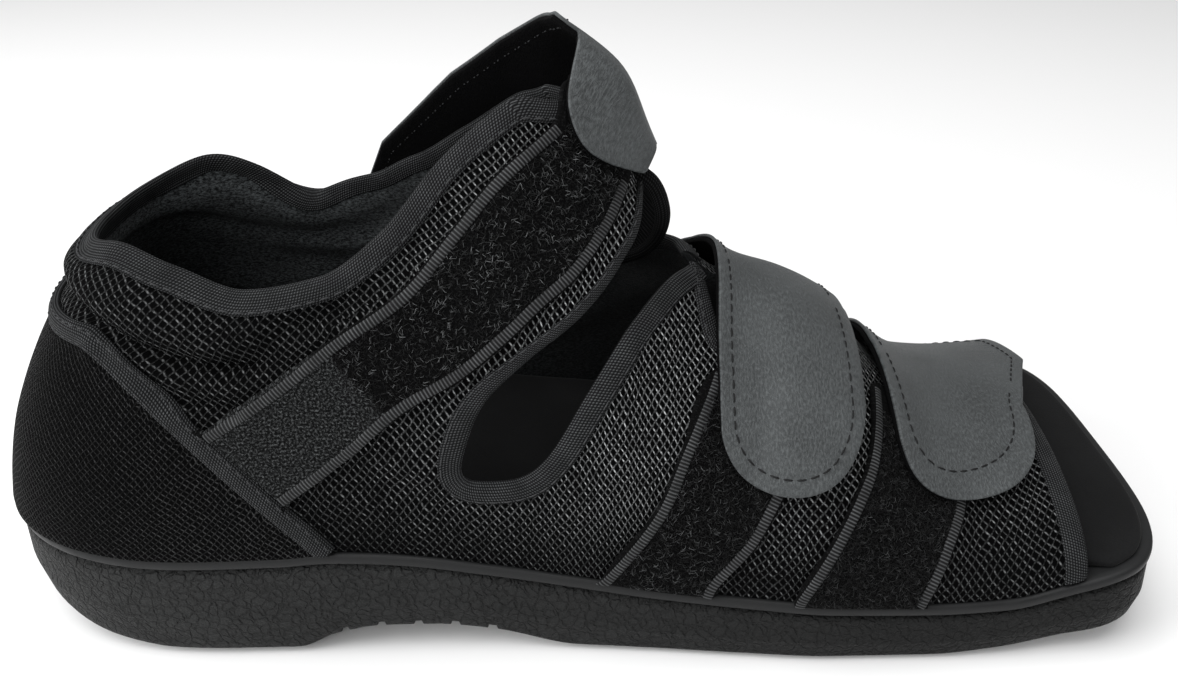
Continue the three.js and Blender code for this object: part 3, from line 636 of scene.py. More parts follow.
def trimmed(way, t, field, most=np.pi / 2):
    """Keeps the cells of a grid whose middle lies where field is below 0, and
    slides the points on the cut on to it.  Returns the places and the cells."""
    middle_way = (way[:-1, :-1] + way[1:, 1:]) / 2
    middle_t = (t[:-1, :-1] + t[1:, 1:] + t[:-1, 1:] + t[1:, :-1]) / 4
    kept = field(middle_way, middle_t) < 0
    padded = np.pad(kept, 1)
    around = (padded[:-1, :-1].astype(int) + padded[1:, :-1] + padded[:-1, 1:] + padded[1:, 1:])
    inner = np.ones(way.shape, bool)
    inner[[0, -1]] = inner[:, [0, -1]] = False
    edge = (around > 0) & (around < 4) & inner
    way, t = way.copy(), t.copy()
    way[edge], t[edge] = settle(way[edge], t[edge], field, most)
    return way, t, kept


def thick_sheet(outer, inner, kept, bulge=0.5, rings=3):
    """Closed sheet between two grids of points.  Its cut edge is a rounded
    rim: rings half way round a half ellipse whose depth is bulge times its
    thickness.  Returns points, faces, the place in the grid, and marks that are
    0 outside, 1 inside and 2 on the rim."""
    rows, columns = kept.shape
    number = np.arange((rows + 1) * (columns + 1)).reshape(rows + 1, columns + 1)
    quads = np.stack([number[:-1, :-1], number[1:, :-1], number[1:, 1:], number[:-1, 1:]], -1)[kept]
    used, again = np.unique(quads, return_inverse=True)
    quads = again.reshape(-1, 4)
    top, low = outer.reshape(-1, 3)[used], inner.reshape(-1, 3)[used]
    turned = np.cross(top[quads[:, 2]] - top[quads[:, 0]], top[quads[:, 3]] - top[quads[:, 1]])
    if np.sum(turned * (top - low)[quads[:, 0]]) < 0:
        quads = quads[:, ::-1]
    count = len(used)
    sides = np.concatenate([quads[:, [k, (k + 1) % 4]] for k in range(4)])
    key = np.sort(sides, 1) @ np.array([count, 1])
    once = np.isin(key, [k for k in np.unique(key)[np.unique(key, return_counts=True)[1] == 1]])
    rim_sides = sides[once]
    way_in = top - low
    away = np.zeros((count, 3))
    run = top[rim_sides[:, 1]] - top[rim_sides[:, 0]]
    facing = np.cross(run, way_in[rim_sides[:, 0]])
    facing /= np.maximum(np.linalg.norm(facing, axis=1, keepdims=True), 1e-9)
    np.add.at(away, rim_sides[:, 0], facing)
    np.add.at(away, rim_sides[:, 1], facing)
    on_rim = np.unique(rim_sides)
    away = away[on_rim] / np.maximum(np.linalg.norm(away[on_rim], axis=1, keepdims=True), 1e-9)
    deep = np.linalg.norm(way_in[on_rim], axis=1, keepdims=True) * bulge
    points, source = [top, low], [used, used]
    ladder = np.full((rings + 2, count), -1)
    ladder[0], ladder[-1] = np.arange(count), np.arange(count) + count
    middle, half = (top[on_rim] + low[on_rim]) / 2, way_in[on_rim] / 2
    for k in range(1, rings + 1):
        angle = np.pi * k / (rings + 1)
        ladder[k, on_rim] = 2 * count + (k - 1) * len(on_rim) + np.arange(len(on_rim))
        points.append(middle + half * np.cos(angle) + away * deep * np.sin(angle))
        source.append(used[on_rim])
    faces, marks = [quads, quads[:, ::-1] + count], [np.zeros(len(quads), int), np.ones(len(quads), int)]
    a, b = rim_sides[:, 0], rim_sides[:, 1]
    for k in range(rings + 1):
        faces.append(np.stack([ladder[k, b], ladder[k, a], ladder[k + 1, a], ladder[k + 1, b]], 1))
        marks.append(np.full(len(a), 2))
    return np.concatenate(points), np.concatenate(faces), np.concatenate(source), np.concatenate(marks)


def cloth_place(points):
    """Arc lengths in millimetres along the rows and up the columns of a grid."""
    step = np.linalg.norm(np.diff(points, axis=0), axis=-1)
    rise_by = np.linalg.norm(np.diff(points, axis=1), axis=-1)
    low = points.shape[1] // 3
    u = np.concatenate([[0], np.cumsum(step[:, low])])[:, None] + np.zeros(points.shape[1])
    v = np.concatenate([np.zeros((points.shape[0], 1)), np.cumsum(rise_by, 1)], 1)
    return np.stack([u, v], -1)


def air_mesh(name, across_cell, up_cell, pale=(0.62, 0.64, 0.645),
             ahead=(-65, 20, 0.3, 1.05), height=(22, 62, 0.22, 0.98)):
    """Spacer mesh: a net of pale strands round staggered dark holes.  The
    distance |u| + |v| to the nearest hole's middle, in cells of two interleaved
    rectangular lattices, gives the strands; those of one slant are brighter,
    0.55 - 0.45 cos 2 pi (u - v), each is brightest half way along, and slow
    noise bends the rows a little.  Painted highlights, glints in small patches,
    make some strands paler.  ahead and height paint light and shade on the
    strands: they say where along the shoe and above the floor the strands grow
    paler: from, to, and their two gains."""
    cloth = Finish(name, 0.62, specular_ior_level=0.03)
    flat = cloth.place()
    wander = cloth.node("TexNoise", Vector=flat, Scale=1 / 9.0, Detail=2.0)
    bent = cloth.node("VectorMath", {"operation": "MULTIPLY_ADD"}, Vector=wander.outputs["Color"])
    bent.inputs[1].default_value = (2.4, 2.4, 0)
    cloth.give(bent.inputs[2], flat)
    u, v, _ = cloth.split(bent.outputs[0])
    along, over = cloth.sum("MULTIPLY", u, 1 / across_cell), cloth.sum("MULTIPLY", v, 1 / up_cell)
    hole = []
    for shift in (0.0, 0.5):
        a = cloth.sum("SUBTRACT", cloth.sum("FRACT", cloth.sum("ADD", along, shift)), 0.5)
        b = cloth.sum("SUBTRACT", cloth.sum("FRACT", cloth.sum("ADD", over, shift)), 0.5)
        hole.append(cloth.sum("ADD", cloth.sum("ABSOLUTE", a), cloth.sum("ABSOLUTE", b)))
    far_out = cloth.sum("MINIMUM", *hole)
    turn = cloth.sum("MULTIPLY", cloth.sum("SUBTRACT", along, over), 2 * math.pi)
    slant = cloth.sum("MULTIPLY_ADD", cloth.sum("COSINE", turn), -0.45, 0.55)
    beat = cloth.sum("COSINE", cloth.sum("MULTIPLY", along, 4 * math.pi))
    dash = cloth.sum("MULTIPLY_ADD", beat, -0.4, 0.6)
    net = cloth.ease(far_out, 0.30, 0.46)
    yarn = cloth.noise(flat, 0.35, 2.0, 0.7)
    # painted highlights: glints that make the strands paler in small patches
    glint = cloth.ease(cloth.noise(flat, 1.1, 2.0, 0.6), 0.42, 0.68)
    patches = cloth.noise(cloth.place(False), 14.0, 3.0)
    lit = cloth.sum("MULTIPLY_ADD", glint, 0.8, cloth.sum("MULTIPLY", patches, 0.45))
    strands = cloth.sum("MULTIPLY", cloth.sum("MULTIPLY", net, slant), dash)
    x, _, z = cloth.split(cloth.place(False))
    # painted light and shade: the strands are paler where more light falls, along the shoe and above the
    # floor
    painted_light_gain = cloth.sum("MULTIPLY", cloth.ease(x, *ahead), cloth.ease(z, *height))
    bright = cloth.sum("MULTIPLY", cloth.sum("MULTIPLY", strands, lit), painted_light_gain)
    cloth.colour(cloth.blend(bright, (0.0006, 0.0006, 0.0007), pale))
    cloth.rough(cloth.ease(net, 0, 1, 0.85, 0.5))
    cloth.bump(cloth.sum("MULTIPLY_ADD", yarn, 0.2, net), 0.45, 1.0)
    return cloth.made


lining = Finish("brushed_lining", 0.95, sheen_weight=0.04, specular_ior_level=0.1)
where = lining.place(False)
tuft = lining.noise(where, 0.9, 4.0, 0.75, stretch=(1.0, 1.0, 2.0))
painted_lining_shade = lining.ease(lining.split(where)[0], -75, 15, 0.68, 0.14)      # painted shade: the lining is painted darker ahead of the heel, inside the shoe
lit_tuft = lining.sum("MULTIPLY", lining.ease(tuft, 0.35, 0.72), painted_lining_shade)
lining.colour(lining.blend(lit_tuft, (0.0022, 0.0024, 0.0026), (0.120, 0.132, 0.137)))
lining.bump(tuft, 0.5, 0.9)
vamp_mesh = air_mesh("vamp_air_mesh", 2.1, 2.6)
collar_mesh = air_mesh("collar_air_mesh", 2.2, 2.1, (0.52, 0.536, 0.54))

toe_way = LAST_X - TOE_EDGE
ways = np.concatenate([np.linspace(toe_way, SIDE_LENGTH, 196)[:-1], np.linspace(SIDE_LENGTH, WAY / 2, 61)])
ways = np.concatenate([ways, WAY - ways[-2::-1]])[:, None] + np.zeros(108)
x0 = np.maximum(LAST_X - np.minimum(ways, WAY - ways), HEEL_X)[:, :1]
rise_here = np.where(ways[:, :1] > WAY / 2, far_rise(x0), near_rise(x0))
t_low = np.arcsin((0.25 / (ridge(x0) - sole_top(x0))) ** (rise_here / 2))
ts = t_low + (np.pi / 2 - t_low) * np.linspace(0, 1, 108)
mesh_way, mesh_t, kept = trimmed(ways, ts, cut_away)
outer, inner = skin(mesh_way, mesh_t), skin(mesh_way, mesh_t, deep=1.0)
points, faces, source, marks = thick_sheet(outer, inner, kept, bulge=0.1, rings=1)
pattern = cloth_place(on_last(ways, ts)).reshape(-1, 2)[source]
middles = points[faces].mean(1)
# the quarter above the ankle tape, where the mesh is stretched round the collar
above_tape = middles[:, 2] > np.interp(middles[:, 0], [-20, 67, 95, 160], [60, 62, 88, 128])
upper = make_piece("mesh_upper", points, faces, [vamp_mesh, lining.made, collar_mesh],
                   np.where(marks > 0, 1, np.where(above_tape, 2, 0)), pattern, crease=70)
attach(upper, "root")
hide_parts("upper")

# Heel panel
# A second layer of finer mesh round the back of the heel, laid on the upper and
# held by a flat binding tape sewn over its edge.
panel_rows = [(-0.080, 0.612), (0.000, 0.612), (0.090, 0.622), (0.140, 0.626), (0.157, 0.603), (0.172, 0.574),
              (0.187, 0.541), (0.201, 0.503), (0.226, 0.438), (0.255, 0.363), (0.280, 0.298), (0.295, 0.256),
              (0.312, 0.200)]
panel_top = curve(panel_rows, 1, up_by=INSTEP)


def nearest(place, way, t, rounds=5):
    """Place on the last closest to each point (Gauss and Newton, from a guess)."""
    for _ in range(rounds):
        gap = place - on_last(way, t)
        a = (on_last(way + 0.3, t) - on_last(way - 0.3, t)) / 0.6
        b = (on_last(way, t + 0.003) - on_last(way, t - 0.003)) / 0.006
        aa, ab, bb = (a * a).sum(-1), (a * b).sum(-1), np.maximum((b * b).sum(-1), 1.0)
        ga, gb = (gap * a).sum(-1), (gap * b).sum(-1)
        det = np.maximum(aa * bb - ab * ab, 1e-3)
        way = way + np.clip((ga * bb - gb * ab) / det, -3, 3)
        t = np.clip(t + np.clip((gb * aa - ga * ab) / det, -0.08, 0.08), 0.0005, np.pi / 2)
    return way, t


def even(way, t, spacing):
    """The same line with points evenly spaced along it."""
    p = on_last(way, t)
    run = np.concatenate([[0], np.cumsum(np.linalg.norm(np.diff(p, axis=0), axis=1))])
    count = max(int(round(run[-1] / spacing)), 2)
    at = np.linspace(0, run[-1], count + 1)
    return np.interp(at, run, way), np.interp(at, run, t)


def level_line(height, first, last, spacing=1.2):
    """Line round the shoe where z is height at x, found by halving t."""
    way = np.linspace(first, last, 2400)
    low, high = np.full(way.shape, 0.002), np.full(way.shape, np.pi / 2)

    def over(t):
        p = on_last(way, t)
        return p[..., 2] - height(p[..., 0], p[..., 1] > 0)

    crosses = (over(low) < 0) & (over(high) > 0)
    for _ in range(34):
        middle = (low + high) / 2
        above = over(middle) > 0
        low, high = np.where(above, low, middle), np.where(above, middle, high)
    return even(way[crosses], low[crosses], spacing)


def from_side(line, far, spacing=1.2):
    """Line drawn in the side view, ahead of the heel's round, put on the last."""
    x, z = line[:, 0], line[:, 1]
    rise = far_rise(x) if far else near_rise(x)
    share = (z - sole_top(x)) / (ridge(x) - sole_top(x))
    keep = (share > 0) & (share < 1)
    ends = np.zeros_like(keep)
    ends[1:] |= keep[:-1]
    ends[:-1] |= keep[1:]
    keep |= ends
    t = np.arcsin(np.clip(share[keep], 0.0004, 1) ** (rise[keep] / 2))
    way = LAST_X - x[keep]
    return even(WAY - way if far else way, t, spacing)


def beside(way, t, offsets, narrow=1.0):
    """Lines beside a line at each offset, to the left of its direction as seen
    from outside the shoe, drawn closer where narrow is below 1.  Returns ways
    and ts, a column for each offset."""
    narrow = narrow + np.zeros(len(way))
    p, normal = on_last(way, t), outward(way, t)
    along = np.gradient(p, axis=0)
    left = np.cross(normal, along)
    left /= np.maximum(np.linalg.norm(left, axis=1, keepdims=True), 1e-9)
    columns = [nearest(p + left * (offset * narrow)[:, None], way, t) for offset in offsets]
    return np.stack([c[0] for c in columns], 1), np.stack([c[1] for c in columns], 1)


def tube_faces(number):
    """Quads round tubes, from the numbers of their points, ring after ring."""
    loop = np.concatenate([number, number[..., :1]], -1)
    quads = [loop[..., :-1, :-1], loop[..., :-1, 1:], loop[..., 1:, 1:], loop[..., 1:, :-1]]
    return np.stack(quads, -1).reshape(-1, 4)


def tape_along(name, lines, offsets, face, back, finishes):
    """Tape carried along a line: lines are the ways and ts at each offset, and
    face and back are matching corners of its section, each an offset, a depth
    in the wall from 0 outside to 1 at the lining, and a height off that face."""
    section = list(face) + list(back)[::-1]
    column = {offset: k for k, offset in enumerate(offsets)}
    ways = np.stack([lines[0][:, column[o]] for o, _, _ in section], 1)
    ts = np.stack([lines[1][:, column[o]] for o, _, _ in section], 1)
    deep = np.array([d for _, d, _ in section]) + np.zeros(ways.shape)
    proud = np.array([h for _, _, h in section]) + np.zeros(ways.shape)
    points = skin(ways, ts, deep, proud)
    rows, around = ways.shape
    number = np.arange(rows * around).reshape(rows, around)
    half = around // 2
    caps = []
    for row, flip in ((number[0], False), (number[-1], True)):
        a, b = row[:half], row[::-1][:half]
        cap = np.stack([a[:-1], b[:-1], b[1:], a[1:]], 1)
        caps.append(cap[:, ::-1] if flip else cap)
    run = np.concatenate([[0], np.cumsum(np.linalg.norm(np.diff(points[:, 0], axis=0), axis=1))])
    step = np.linalg.norm(np.diff(points, axis=1), axis=-1).mean(0)
    over = np.concatenate([[0], np.cumsum(step)])
    pattern = np.stack(np.broadcast_arrays(run[:, None], over[None]), -1).reshape(-1, 2)
    faces = np.concatenate([tube_faces(number)] + caps)
    piece = make_piece(name, points.reshape(-1, 3), faces, finishes, pattern=pattern, crease=50)
    return weld(piece, 0.000002)


def stitches(name, way, t, proud, length, gap, thick, finish):
    """A row of thread stitches along a line, joined as one piece.  Each is a
    six-sided tube whose middle stands proud and whose ends dip into the cloth:
    height = proud + thick (sin(pi s)^0.5 - 0.62), for s from 0 to 1 along it."""
    p = skin(way, t, 0.0, proud)
    run = np.concatenate([[0], np.cumsum(np.linalg.norm(np.diff(p, axis=0), axis=1))])
    starts = np.arange(gap / 2, run[-1] - length, length + gap)
    s = np.linspace(0, 1, 6)
    at = starts[:, None] + s * length
    w, tt = np.interp(at, run, way), np.interp(at, run, t)
    high = np.interp(at, run, np.broadcast_to(proud, run.shape)) + thick * (np.sin(np.pi * s) ** 0.5 - 0.62)
    centre = skin(w, tt, 0.0, high)
    lift = outward(w, tt)
    along = np.gradient(centre, axis=1)
    side = np.cross(lift, along)
    side /= np.maximum(np.linalg.norm(side, axis=-1, keepdims=True), 1e-9)
    angle = np.arange(6) * np.pi / 3
    ring = (side[:, :, None] * np.cos(angle)[:, None]
            + lift[:, :, None] * np.sin(angle)[:, None] * 0.8) * thick / 2
    points = centre[:, :, None] + ring * (0.72 + 0.28 * np.sin(np.pi * s))[None, :, None, None]
    number = np.arange(points.size // 3).reshape(points.shape[:3])
    caps = [number[:, 0][:, [3, 2, 1, 0]], number[:, 0][:, [5, 4, 3, 0]],
            number[:, -1][:, [0, 1, 2, 3]], number[:, -1][:, [0, 3, 4, 5]]]
    faces = np.concatenate([tube_faces(number)] + caps)
    row = make_piece(name, points.reshape(-1, 3), faces, [finish], crease=80)
    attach(row, "root")
    return row


thread = Finish("dull_thread", 0.7, specular_ior_level=0.2)
twist = thread.noise(thread.place(False), 0.25, 2.0)
thread.colour(thread.blend(twist, (0.012, 0.012, 0.013), (0.06, 0.062, 0.064)))
thread.bump(twist, 0.08, 0.8)
black_thread = Finish("black_thread", 0.6, specular_ior_level=0.25)
twist = black_thread.noise(black_thread.place(False), 0.25, 2.0)
black_thread.colour(black_thread.blend(twist, (0.001, 0.001, 0.001), (0.006, 0.006, 0.0065)))
black_thread.bump(twist, 0.08, 0.8)


def binding_weave(name, dark=(0.003, 0.0031, 0.0034), pale=(0.090, 0.0935, 0.096)):
    """Woven edge tape: fine cords along it crossed by a slanting weft, worn
    paler in patches."""
    cloth = Finish(name, 0.6, specular_ior_level=0.07)
    flat = cloth.place()
    u, v, _ = cloth.split(flat)
    cord = cloth.wave(v, 0.62)
    weft = cloth.wave(cloth.sum("MULTIPLY_ADD", v, 0.5, u), 0.70)
    knots = cloth.sum("MULTIPLY", cord, weft)
    patches = cloth.noise(flat, 6.0, 3.0)
    fuzz = cloth.noise(flat, 0.3, 2.0, 0.7)
    wear = cloth.sum("MULTIPLY_ADD", patches, 1.3, 0.2)
    cloth.colour(cloth.blend(cloth.sum("MULTIPLY", knots, wear), dark, pale))
    cloth.rough(cloth.ease(knots, 0, 1, 0.8, 0.5))
    cloth.bump(cloth.sum("MULTIPLY_ADD", fuzz, 0.3, knots), 0.22, 0.9)
    return cloth.made


binding = binding_weave("binding_tape")
# painted shade: a darker copy of the binding tape, for the far flap's tip, which stands in shade
shaded_binding = binding_weave("binding_tape_in_shade", (0.0015, 0.0015, 0.0017), (0.022, 0.0225, 0.023))
# its last two arguments paint light and shade on the heel's strands
heel_mesh = air_mesh("heel_air_mesh", 1.75, 1.85, (0.0415, 0.042, 0.0425),
                     (-118, -62, 0.85, 3.2), (25, 50, 1.15, 0.95))
panel_ways = np.concatenate([np.linspace(185, SIDE_LENGTH, 26)[:-1], np.linspace(SIDE_LENGTH, WAY / 2, 62)])
panel_ways = np.concatenate([panel_ways, WAY - panel_ways[-2::-1]])[:, None] + np.zeros(46)
panel_t = 0.002 + 0.6 * np.linspace(0, 1, 46) + np.zeros(panel_ways.shape)


def off_panel(way, t):
    """Distance beyond the panel's edge, 2.3 inside the middle of its tape."""
    p = on_last(way, t)
    line = np.stack([np.linspace(-24, 87, 90), panel_top(np.linspace(-24, 87, 90))], 1)
    d = line_distance(line, p[..., 0], p[..., 2])
    return np.where(p[..., 2] > panel_top(p[..., 0]), d, -d) + 2.3


way, t, kept = trimmed(panel_ways, panel_t, lambda a, b: np.maximum(
    off_panel(a, b), sole_top(on_last(a, b)[..., 0]) + 0.15 - on_last(a, b)[..., 2]))
points, faces, source, marks = thick_sheet(skin(way, t, 0, 1.4), skin(way, t, 0, 0.25), kept,
                                           bulge=0.3, rings=2)
heel_panel = make_piece("heel_mesh_panel", points, faces, [heel_mesh], None,
                        cloth_place(on_last(panel_ways, panel_t)).reshape(-1, 2)[source], crease=60)
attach(heel_panel, "root")
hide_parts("heel_panel")

line = level_line(lambda x, far: panel_top(x), 186, WAY - 186)
across_tape = [-2.7, -2.4, -1.5, 0, 1.5, 2.4, 2.7]
face = [(-2.7, 0, 0.5), (-2.4, 0, 1.2), (-1.5, 0, 1.7), (0, 0, 1.95), (1.5, 0, 1.8), (2.4, 0, 1.5),
        (2.7, 0, 0.9)]
back = [(offset, 0, 0.15) for offset in across_tape]
heel_tape = tape_along("heel_panel_tape", beside(*line, across_tape), across_tape, face, back, [binding])
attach(heel_tape, "root")
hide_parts("heel_binding")
for edge, name in ((-1.7, "heel_tape_stitches_front"), (1.7, "heel_tape_stitches_back")):
    rows = beside(*line, [edge])
    seam = stitches(name, rows[0][:, 0], rows[1][:, 0], 1.62, 2.0, 1.0, 0.36, thread.made)

# Edge bindings
# Woven tape folded over every cut edge of the mesh, at the collar, the throat
# and the toe.  A row of stitches holds it at the collar and the throat.
fold_offsets = [4.7, 4.5, 3.6, 2.4, 1.2, 0.2, 0.0, -0.1, -0.15, -0.4, -0.7, -0.85]
fold_face = [(4.7, 0, 0.35), (4.5, 0, 0.65), (3.6, 0, 0.8), (2.4, 0, 0.85), (1.2, 0, 0.75), (0.2, 0, 0.5),
             (-0.4, 0.1, 0.25), (-0.7, 0.26, 0.1), (-0.85, 0.5, 0.0), (-0.7, 0.74, -0.1), (-0.4, 0.9, -0.25),
             (0.2, 1, -0.5), (1.2, 1, -0.65), (2.4, 1, -0.65), (3.6, 1, -0.35)]
fold_back = [(4.7, 0, 0.15), (4.5, 0, 0.15), (3.6, 0, 0.15), (2.4, 0, 0.15), (1.2, 0, 0.15), (0.2, 0, 0.15),
             (0.0, 0.1, 0.1), (-0.1, 0.25, 0.0), (-0.15, 0.5, 0.0), (-0.1, 0.75, 0.0), (0.0, 0.9, -0.1),
             (0.2, 1, -0.15), (1.2, 1, -0.15), (2.4, 1, -0.15), (3.6, 1, -0.15)]
rim_line = level_line(lambda x, far: np.where(far, far_rim(x), near_rim(x)), 120, WAY - 120)
near_line, far_line = from_side(throat_near, False), from_side(throat_far, True)
tip_root = int(np.argmax(on_last(*far_line)[:, 2] < 0.66 * INSTEP))      # the flap's tip has its own edge
far_line = far_line[0][tip_root:], far_line[1][tip_root:]
near_z = on_last(*near_line)[:, 2]
on_ankle = np.arange(len(near_z)) < np.argmin(near_z)
near_narrow = np.where(on_ankle, 1 - 0.5 * smooth((near_z - 62) / 22), 1.0)
tapes = [("collar_tape", "collar_binding", rim_line, 1, 1.0),
         ("near_throat_tape", "throat_binding_near", near_line, -1, near_narrow),
         ("far_throat_tape", "throat_binding_far", far_line, 1, 1.0)]
for name, node, line, turned, narrow in tapes:
    mesh_side = [turned * o for o in fold_offsets]
    lines = beside(*line, mesh_side, narrow)
    piece = tape_along(name, lines, fold_offsets, fold_face, fold_back, [binding])
    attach(piece, "root")
    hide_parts(node)
    rows = beside(*line, [turned * 3.9], narrow)
    seam = stitches(name + "_stitches", rows[0][:, 0], rows[1][:, 0], 0.85, 2.1, 1.0, 0.34, thread.made)

psi = np.linspace(0.05, np.pi - 0.05, 120)
near_part = psi <= np.pi / 2
toe_ways = toe_way + np.array(fold_offsets)
toe_ways = np.where(near_part[:, None], toe_ways, WAY - toe_ways)
toe_ts = np.minimum(psi, np.pi - psi)[:, None] + np.zeros(len(fold_offsets))
toe_tape = tape_along("toe_tape", (toe_ways, toe_ts), fold_offsets, fold_face, fold_back, [binding])
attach(toe_tape, "root")
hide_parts("toe_binding")

# the far ankle flap's tip, which stands free beyond the near flap
tip_line = rounded([(0.503, 0.547), (0.517, 0.555), (0.545, 0.577), (0.569, 0.606), (0.583, 0.646),
                    (0.588, 0.693), (0.585, 0.737), (0.577, 0.774), (0.564, 0.799), (0.545, 0.836),
                    (0.524, 0.869), (0.503, 0.891)])
nose = int(np.argmax(tip_line[:, 0]))
pace = np.linspace(0, 0.985, 26)
lower, upper_edge = (np.stack([np.interp(pace, np.linspace(0, 1, len(part)), part[:, k]) for k in (0, 1)], 1)
                     for part in (tip_line[:nose + 1], tip_line[:nose - 1:-1]))
spread = np.linspace(0, 1, 20)[None, :, None]
flat_tip = lower[:, None] * (1 - spread) + upper_edge[:, None] * spread


def tip_place(flat, over):
    """Place of the tip from its side view: on the last where it leaves the
    flap, then y = 5 + 0.3 (170.4 - x) + 0.3 (95 - z), moved outwards by over."""
    x, z = flat[..., 0], flat[..., 1]
    share = np.clip((z - sole_top(x)) / (ridge(x) - sole_top(x)), 0, 1)
    on_flap = on_last(WAY - (LAST_X - x), np.arcsin(share ** (far_rise(x) / 2)))[..., 1] - OVERLAP
    free = 5 + 0.3 * (170.4 - x) + 0.3 * (95 - z)
    y = on_flap + (free - on_flap) * smooth((x - 146) / 14) + over
    return np.stack([x, y, z], -1)


# the tip's inner face and its rim are painted in shade with the darker tape
points, faces, source, marks = thick_sheet(tip_place(flat_tip, 1.2), tip_place(flat_tip, -1.2),
                                           np.ones((25, 19), bool), bulge=0.2, rings=1)
tip = make_piece("far_flap_tip", points, faces, [collar_mesh, shaded_binding], (marks > 0).astype(int),
                 cloth_place(tip_place(flat_tip, 0)).reshape(-1, 2)[source], crease=70)
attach(tip, "root")
middle = tip_place(tip_line, 0)
forward = np.gradient(middle, axis=0)
forward /= np.linalg.norm(forward, axis=1, keepdims=True)
inward = np.stack([-forward[:, 2], np.zeros(len(forward)), forward[:, 0]], 1)
aside = np.cross(inward, forward)
aside /= np.linalg.norm(aside, axis=1, keepdims=True)
hem_section = [(3.4, 1.2), (3.1, 1.5), (2.2, 1.6), (0.6, 1.5), (-0.4, 1.0), (-0.7, 0.0), (-0.4, -1.0),
               (0.6, -1.5), (2.2, -1.6), (3.1, -1.5), (3.4, -1.2)]
points = np.stack([middle + inward * a + aside * b for a, b in hem_section], 1)
rows, around = points.shape[:2]
number = np.arange(rows * around).reshape(rows, around)
caps = np.array([[row[k], row[k + 1], row[9 - k], row[10 - k]]
                 for row in (number[0], number[-1]) for k in range(5)])
run = np.concatenate([[0], np.cumsum(np.linalg.norm(np.diff(middle, axis=0), axis=1))])
pattern = np.stack(np.broadcast_arrays(run[:, None], np.linspace(0, 11, around)[None]), -1).reshape(-1, 2)
hem = make_piece("far_flap_tip_tape", points.reshape(-1, 3), np.concatenate([tube_faces(number), caps]),
                 [shaded_binding], pattern=pattern, crease=60)
weld(hem, 0.000002)
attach(hem, "root")

# Loop tapes
# Black loop tape sewn flat on the near quarter and the vamp, where the straps'
# hooks take hold.  Its pile is a field of tiny curled loops.
pile_ground = Finish("loop_pile_ground", 0.95, specular_ior_level=0.08)
flat = pile_ground.place()
mat_of_loops = pile_ground.noise(flat, 0.55, 3.0, 0.8)
pile_ground.colour(pile_ground.blend(pile_ground.ease(mat_of_loops, 0.5, 0.8),
                                     (0.0012, 0.0012, 0.0013), (0.022, 0.0225, 0.023)))
pile_ground.bump(mat_of_loops, 0.6, 1.0)
flat_weave = Finish("flat_loop_weave", 0.8, specular_ior_level=0.06)
flat = flat_weave.place()
u, v, _ = flat_weave.split(flat)
woven_rows = flat_weave.wave(v, 0.95)
crumbs = flat_weave.ease(flat_weave.noise(flat, 0.55, 3.0, 0.7), 0.45, 0.66)
lumps = flat_weave.sum("MULTIPLY", crumbs, flat_weave.sum("MULTIPLY_ADD", woven_rows, 0.6, 0.4))
flat_weave.colour(flat_weave.blend(lumps, (0.0015, 0.0016, 0.0017), (0.092, 0.0965, 0.098)))
flat_weave.bump(lumps, 0.25, 0.9)
ribbed = Finish("ribbed_selvedge", 0.6, specular_ior_level=0.15)
flat = ribbed.place()
u, v, _ = ribbed.split(flat)
ribs = ribbed.sum("POWER", ribbed.wave(u, 0.85), 2.0)
worn = ribbed.sum("MULTIPLY_ADD", ribbed.noise(flat, 5.0, 3.0), 1.4, 0.1)
ribbed.colour(ribbed.blend(ribbed.sum("MULTIPLY", ribs, worn),
                           (0.002, 0.0021, 0.0023), (0.085, 0.088, 0.09)))
ribbed.bump(ribs, 0.2, 0.9)
fluff = Finish("loop_pile", 0.7, specular_ior_level=0.2)
shade = fluff.node("Attribute", {"attribute_name": "tone"}).outputs["Fac"]
# painted shade: the loops are painted darker towards the toe, where less light falls
painted_shade_ahead = fluff.ease(fluff.split(fluff.place(False))[0], 0, 50, 1.0, 0.36)
lit_loop = fluff.sum("MULTIPLY", fluff.sum("POWER", shade, 4.0), painted_shade_ahead)
fluff.colour(fluff.blend(lit_loop, (0.0014, 0.0014, 0.0015), (0.23, 0.238, 0.242)))
fluff.rough(fluff.ease(shade, 0, 1, 0.8, 0.55))


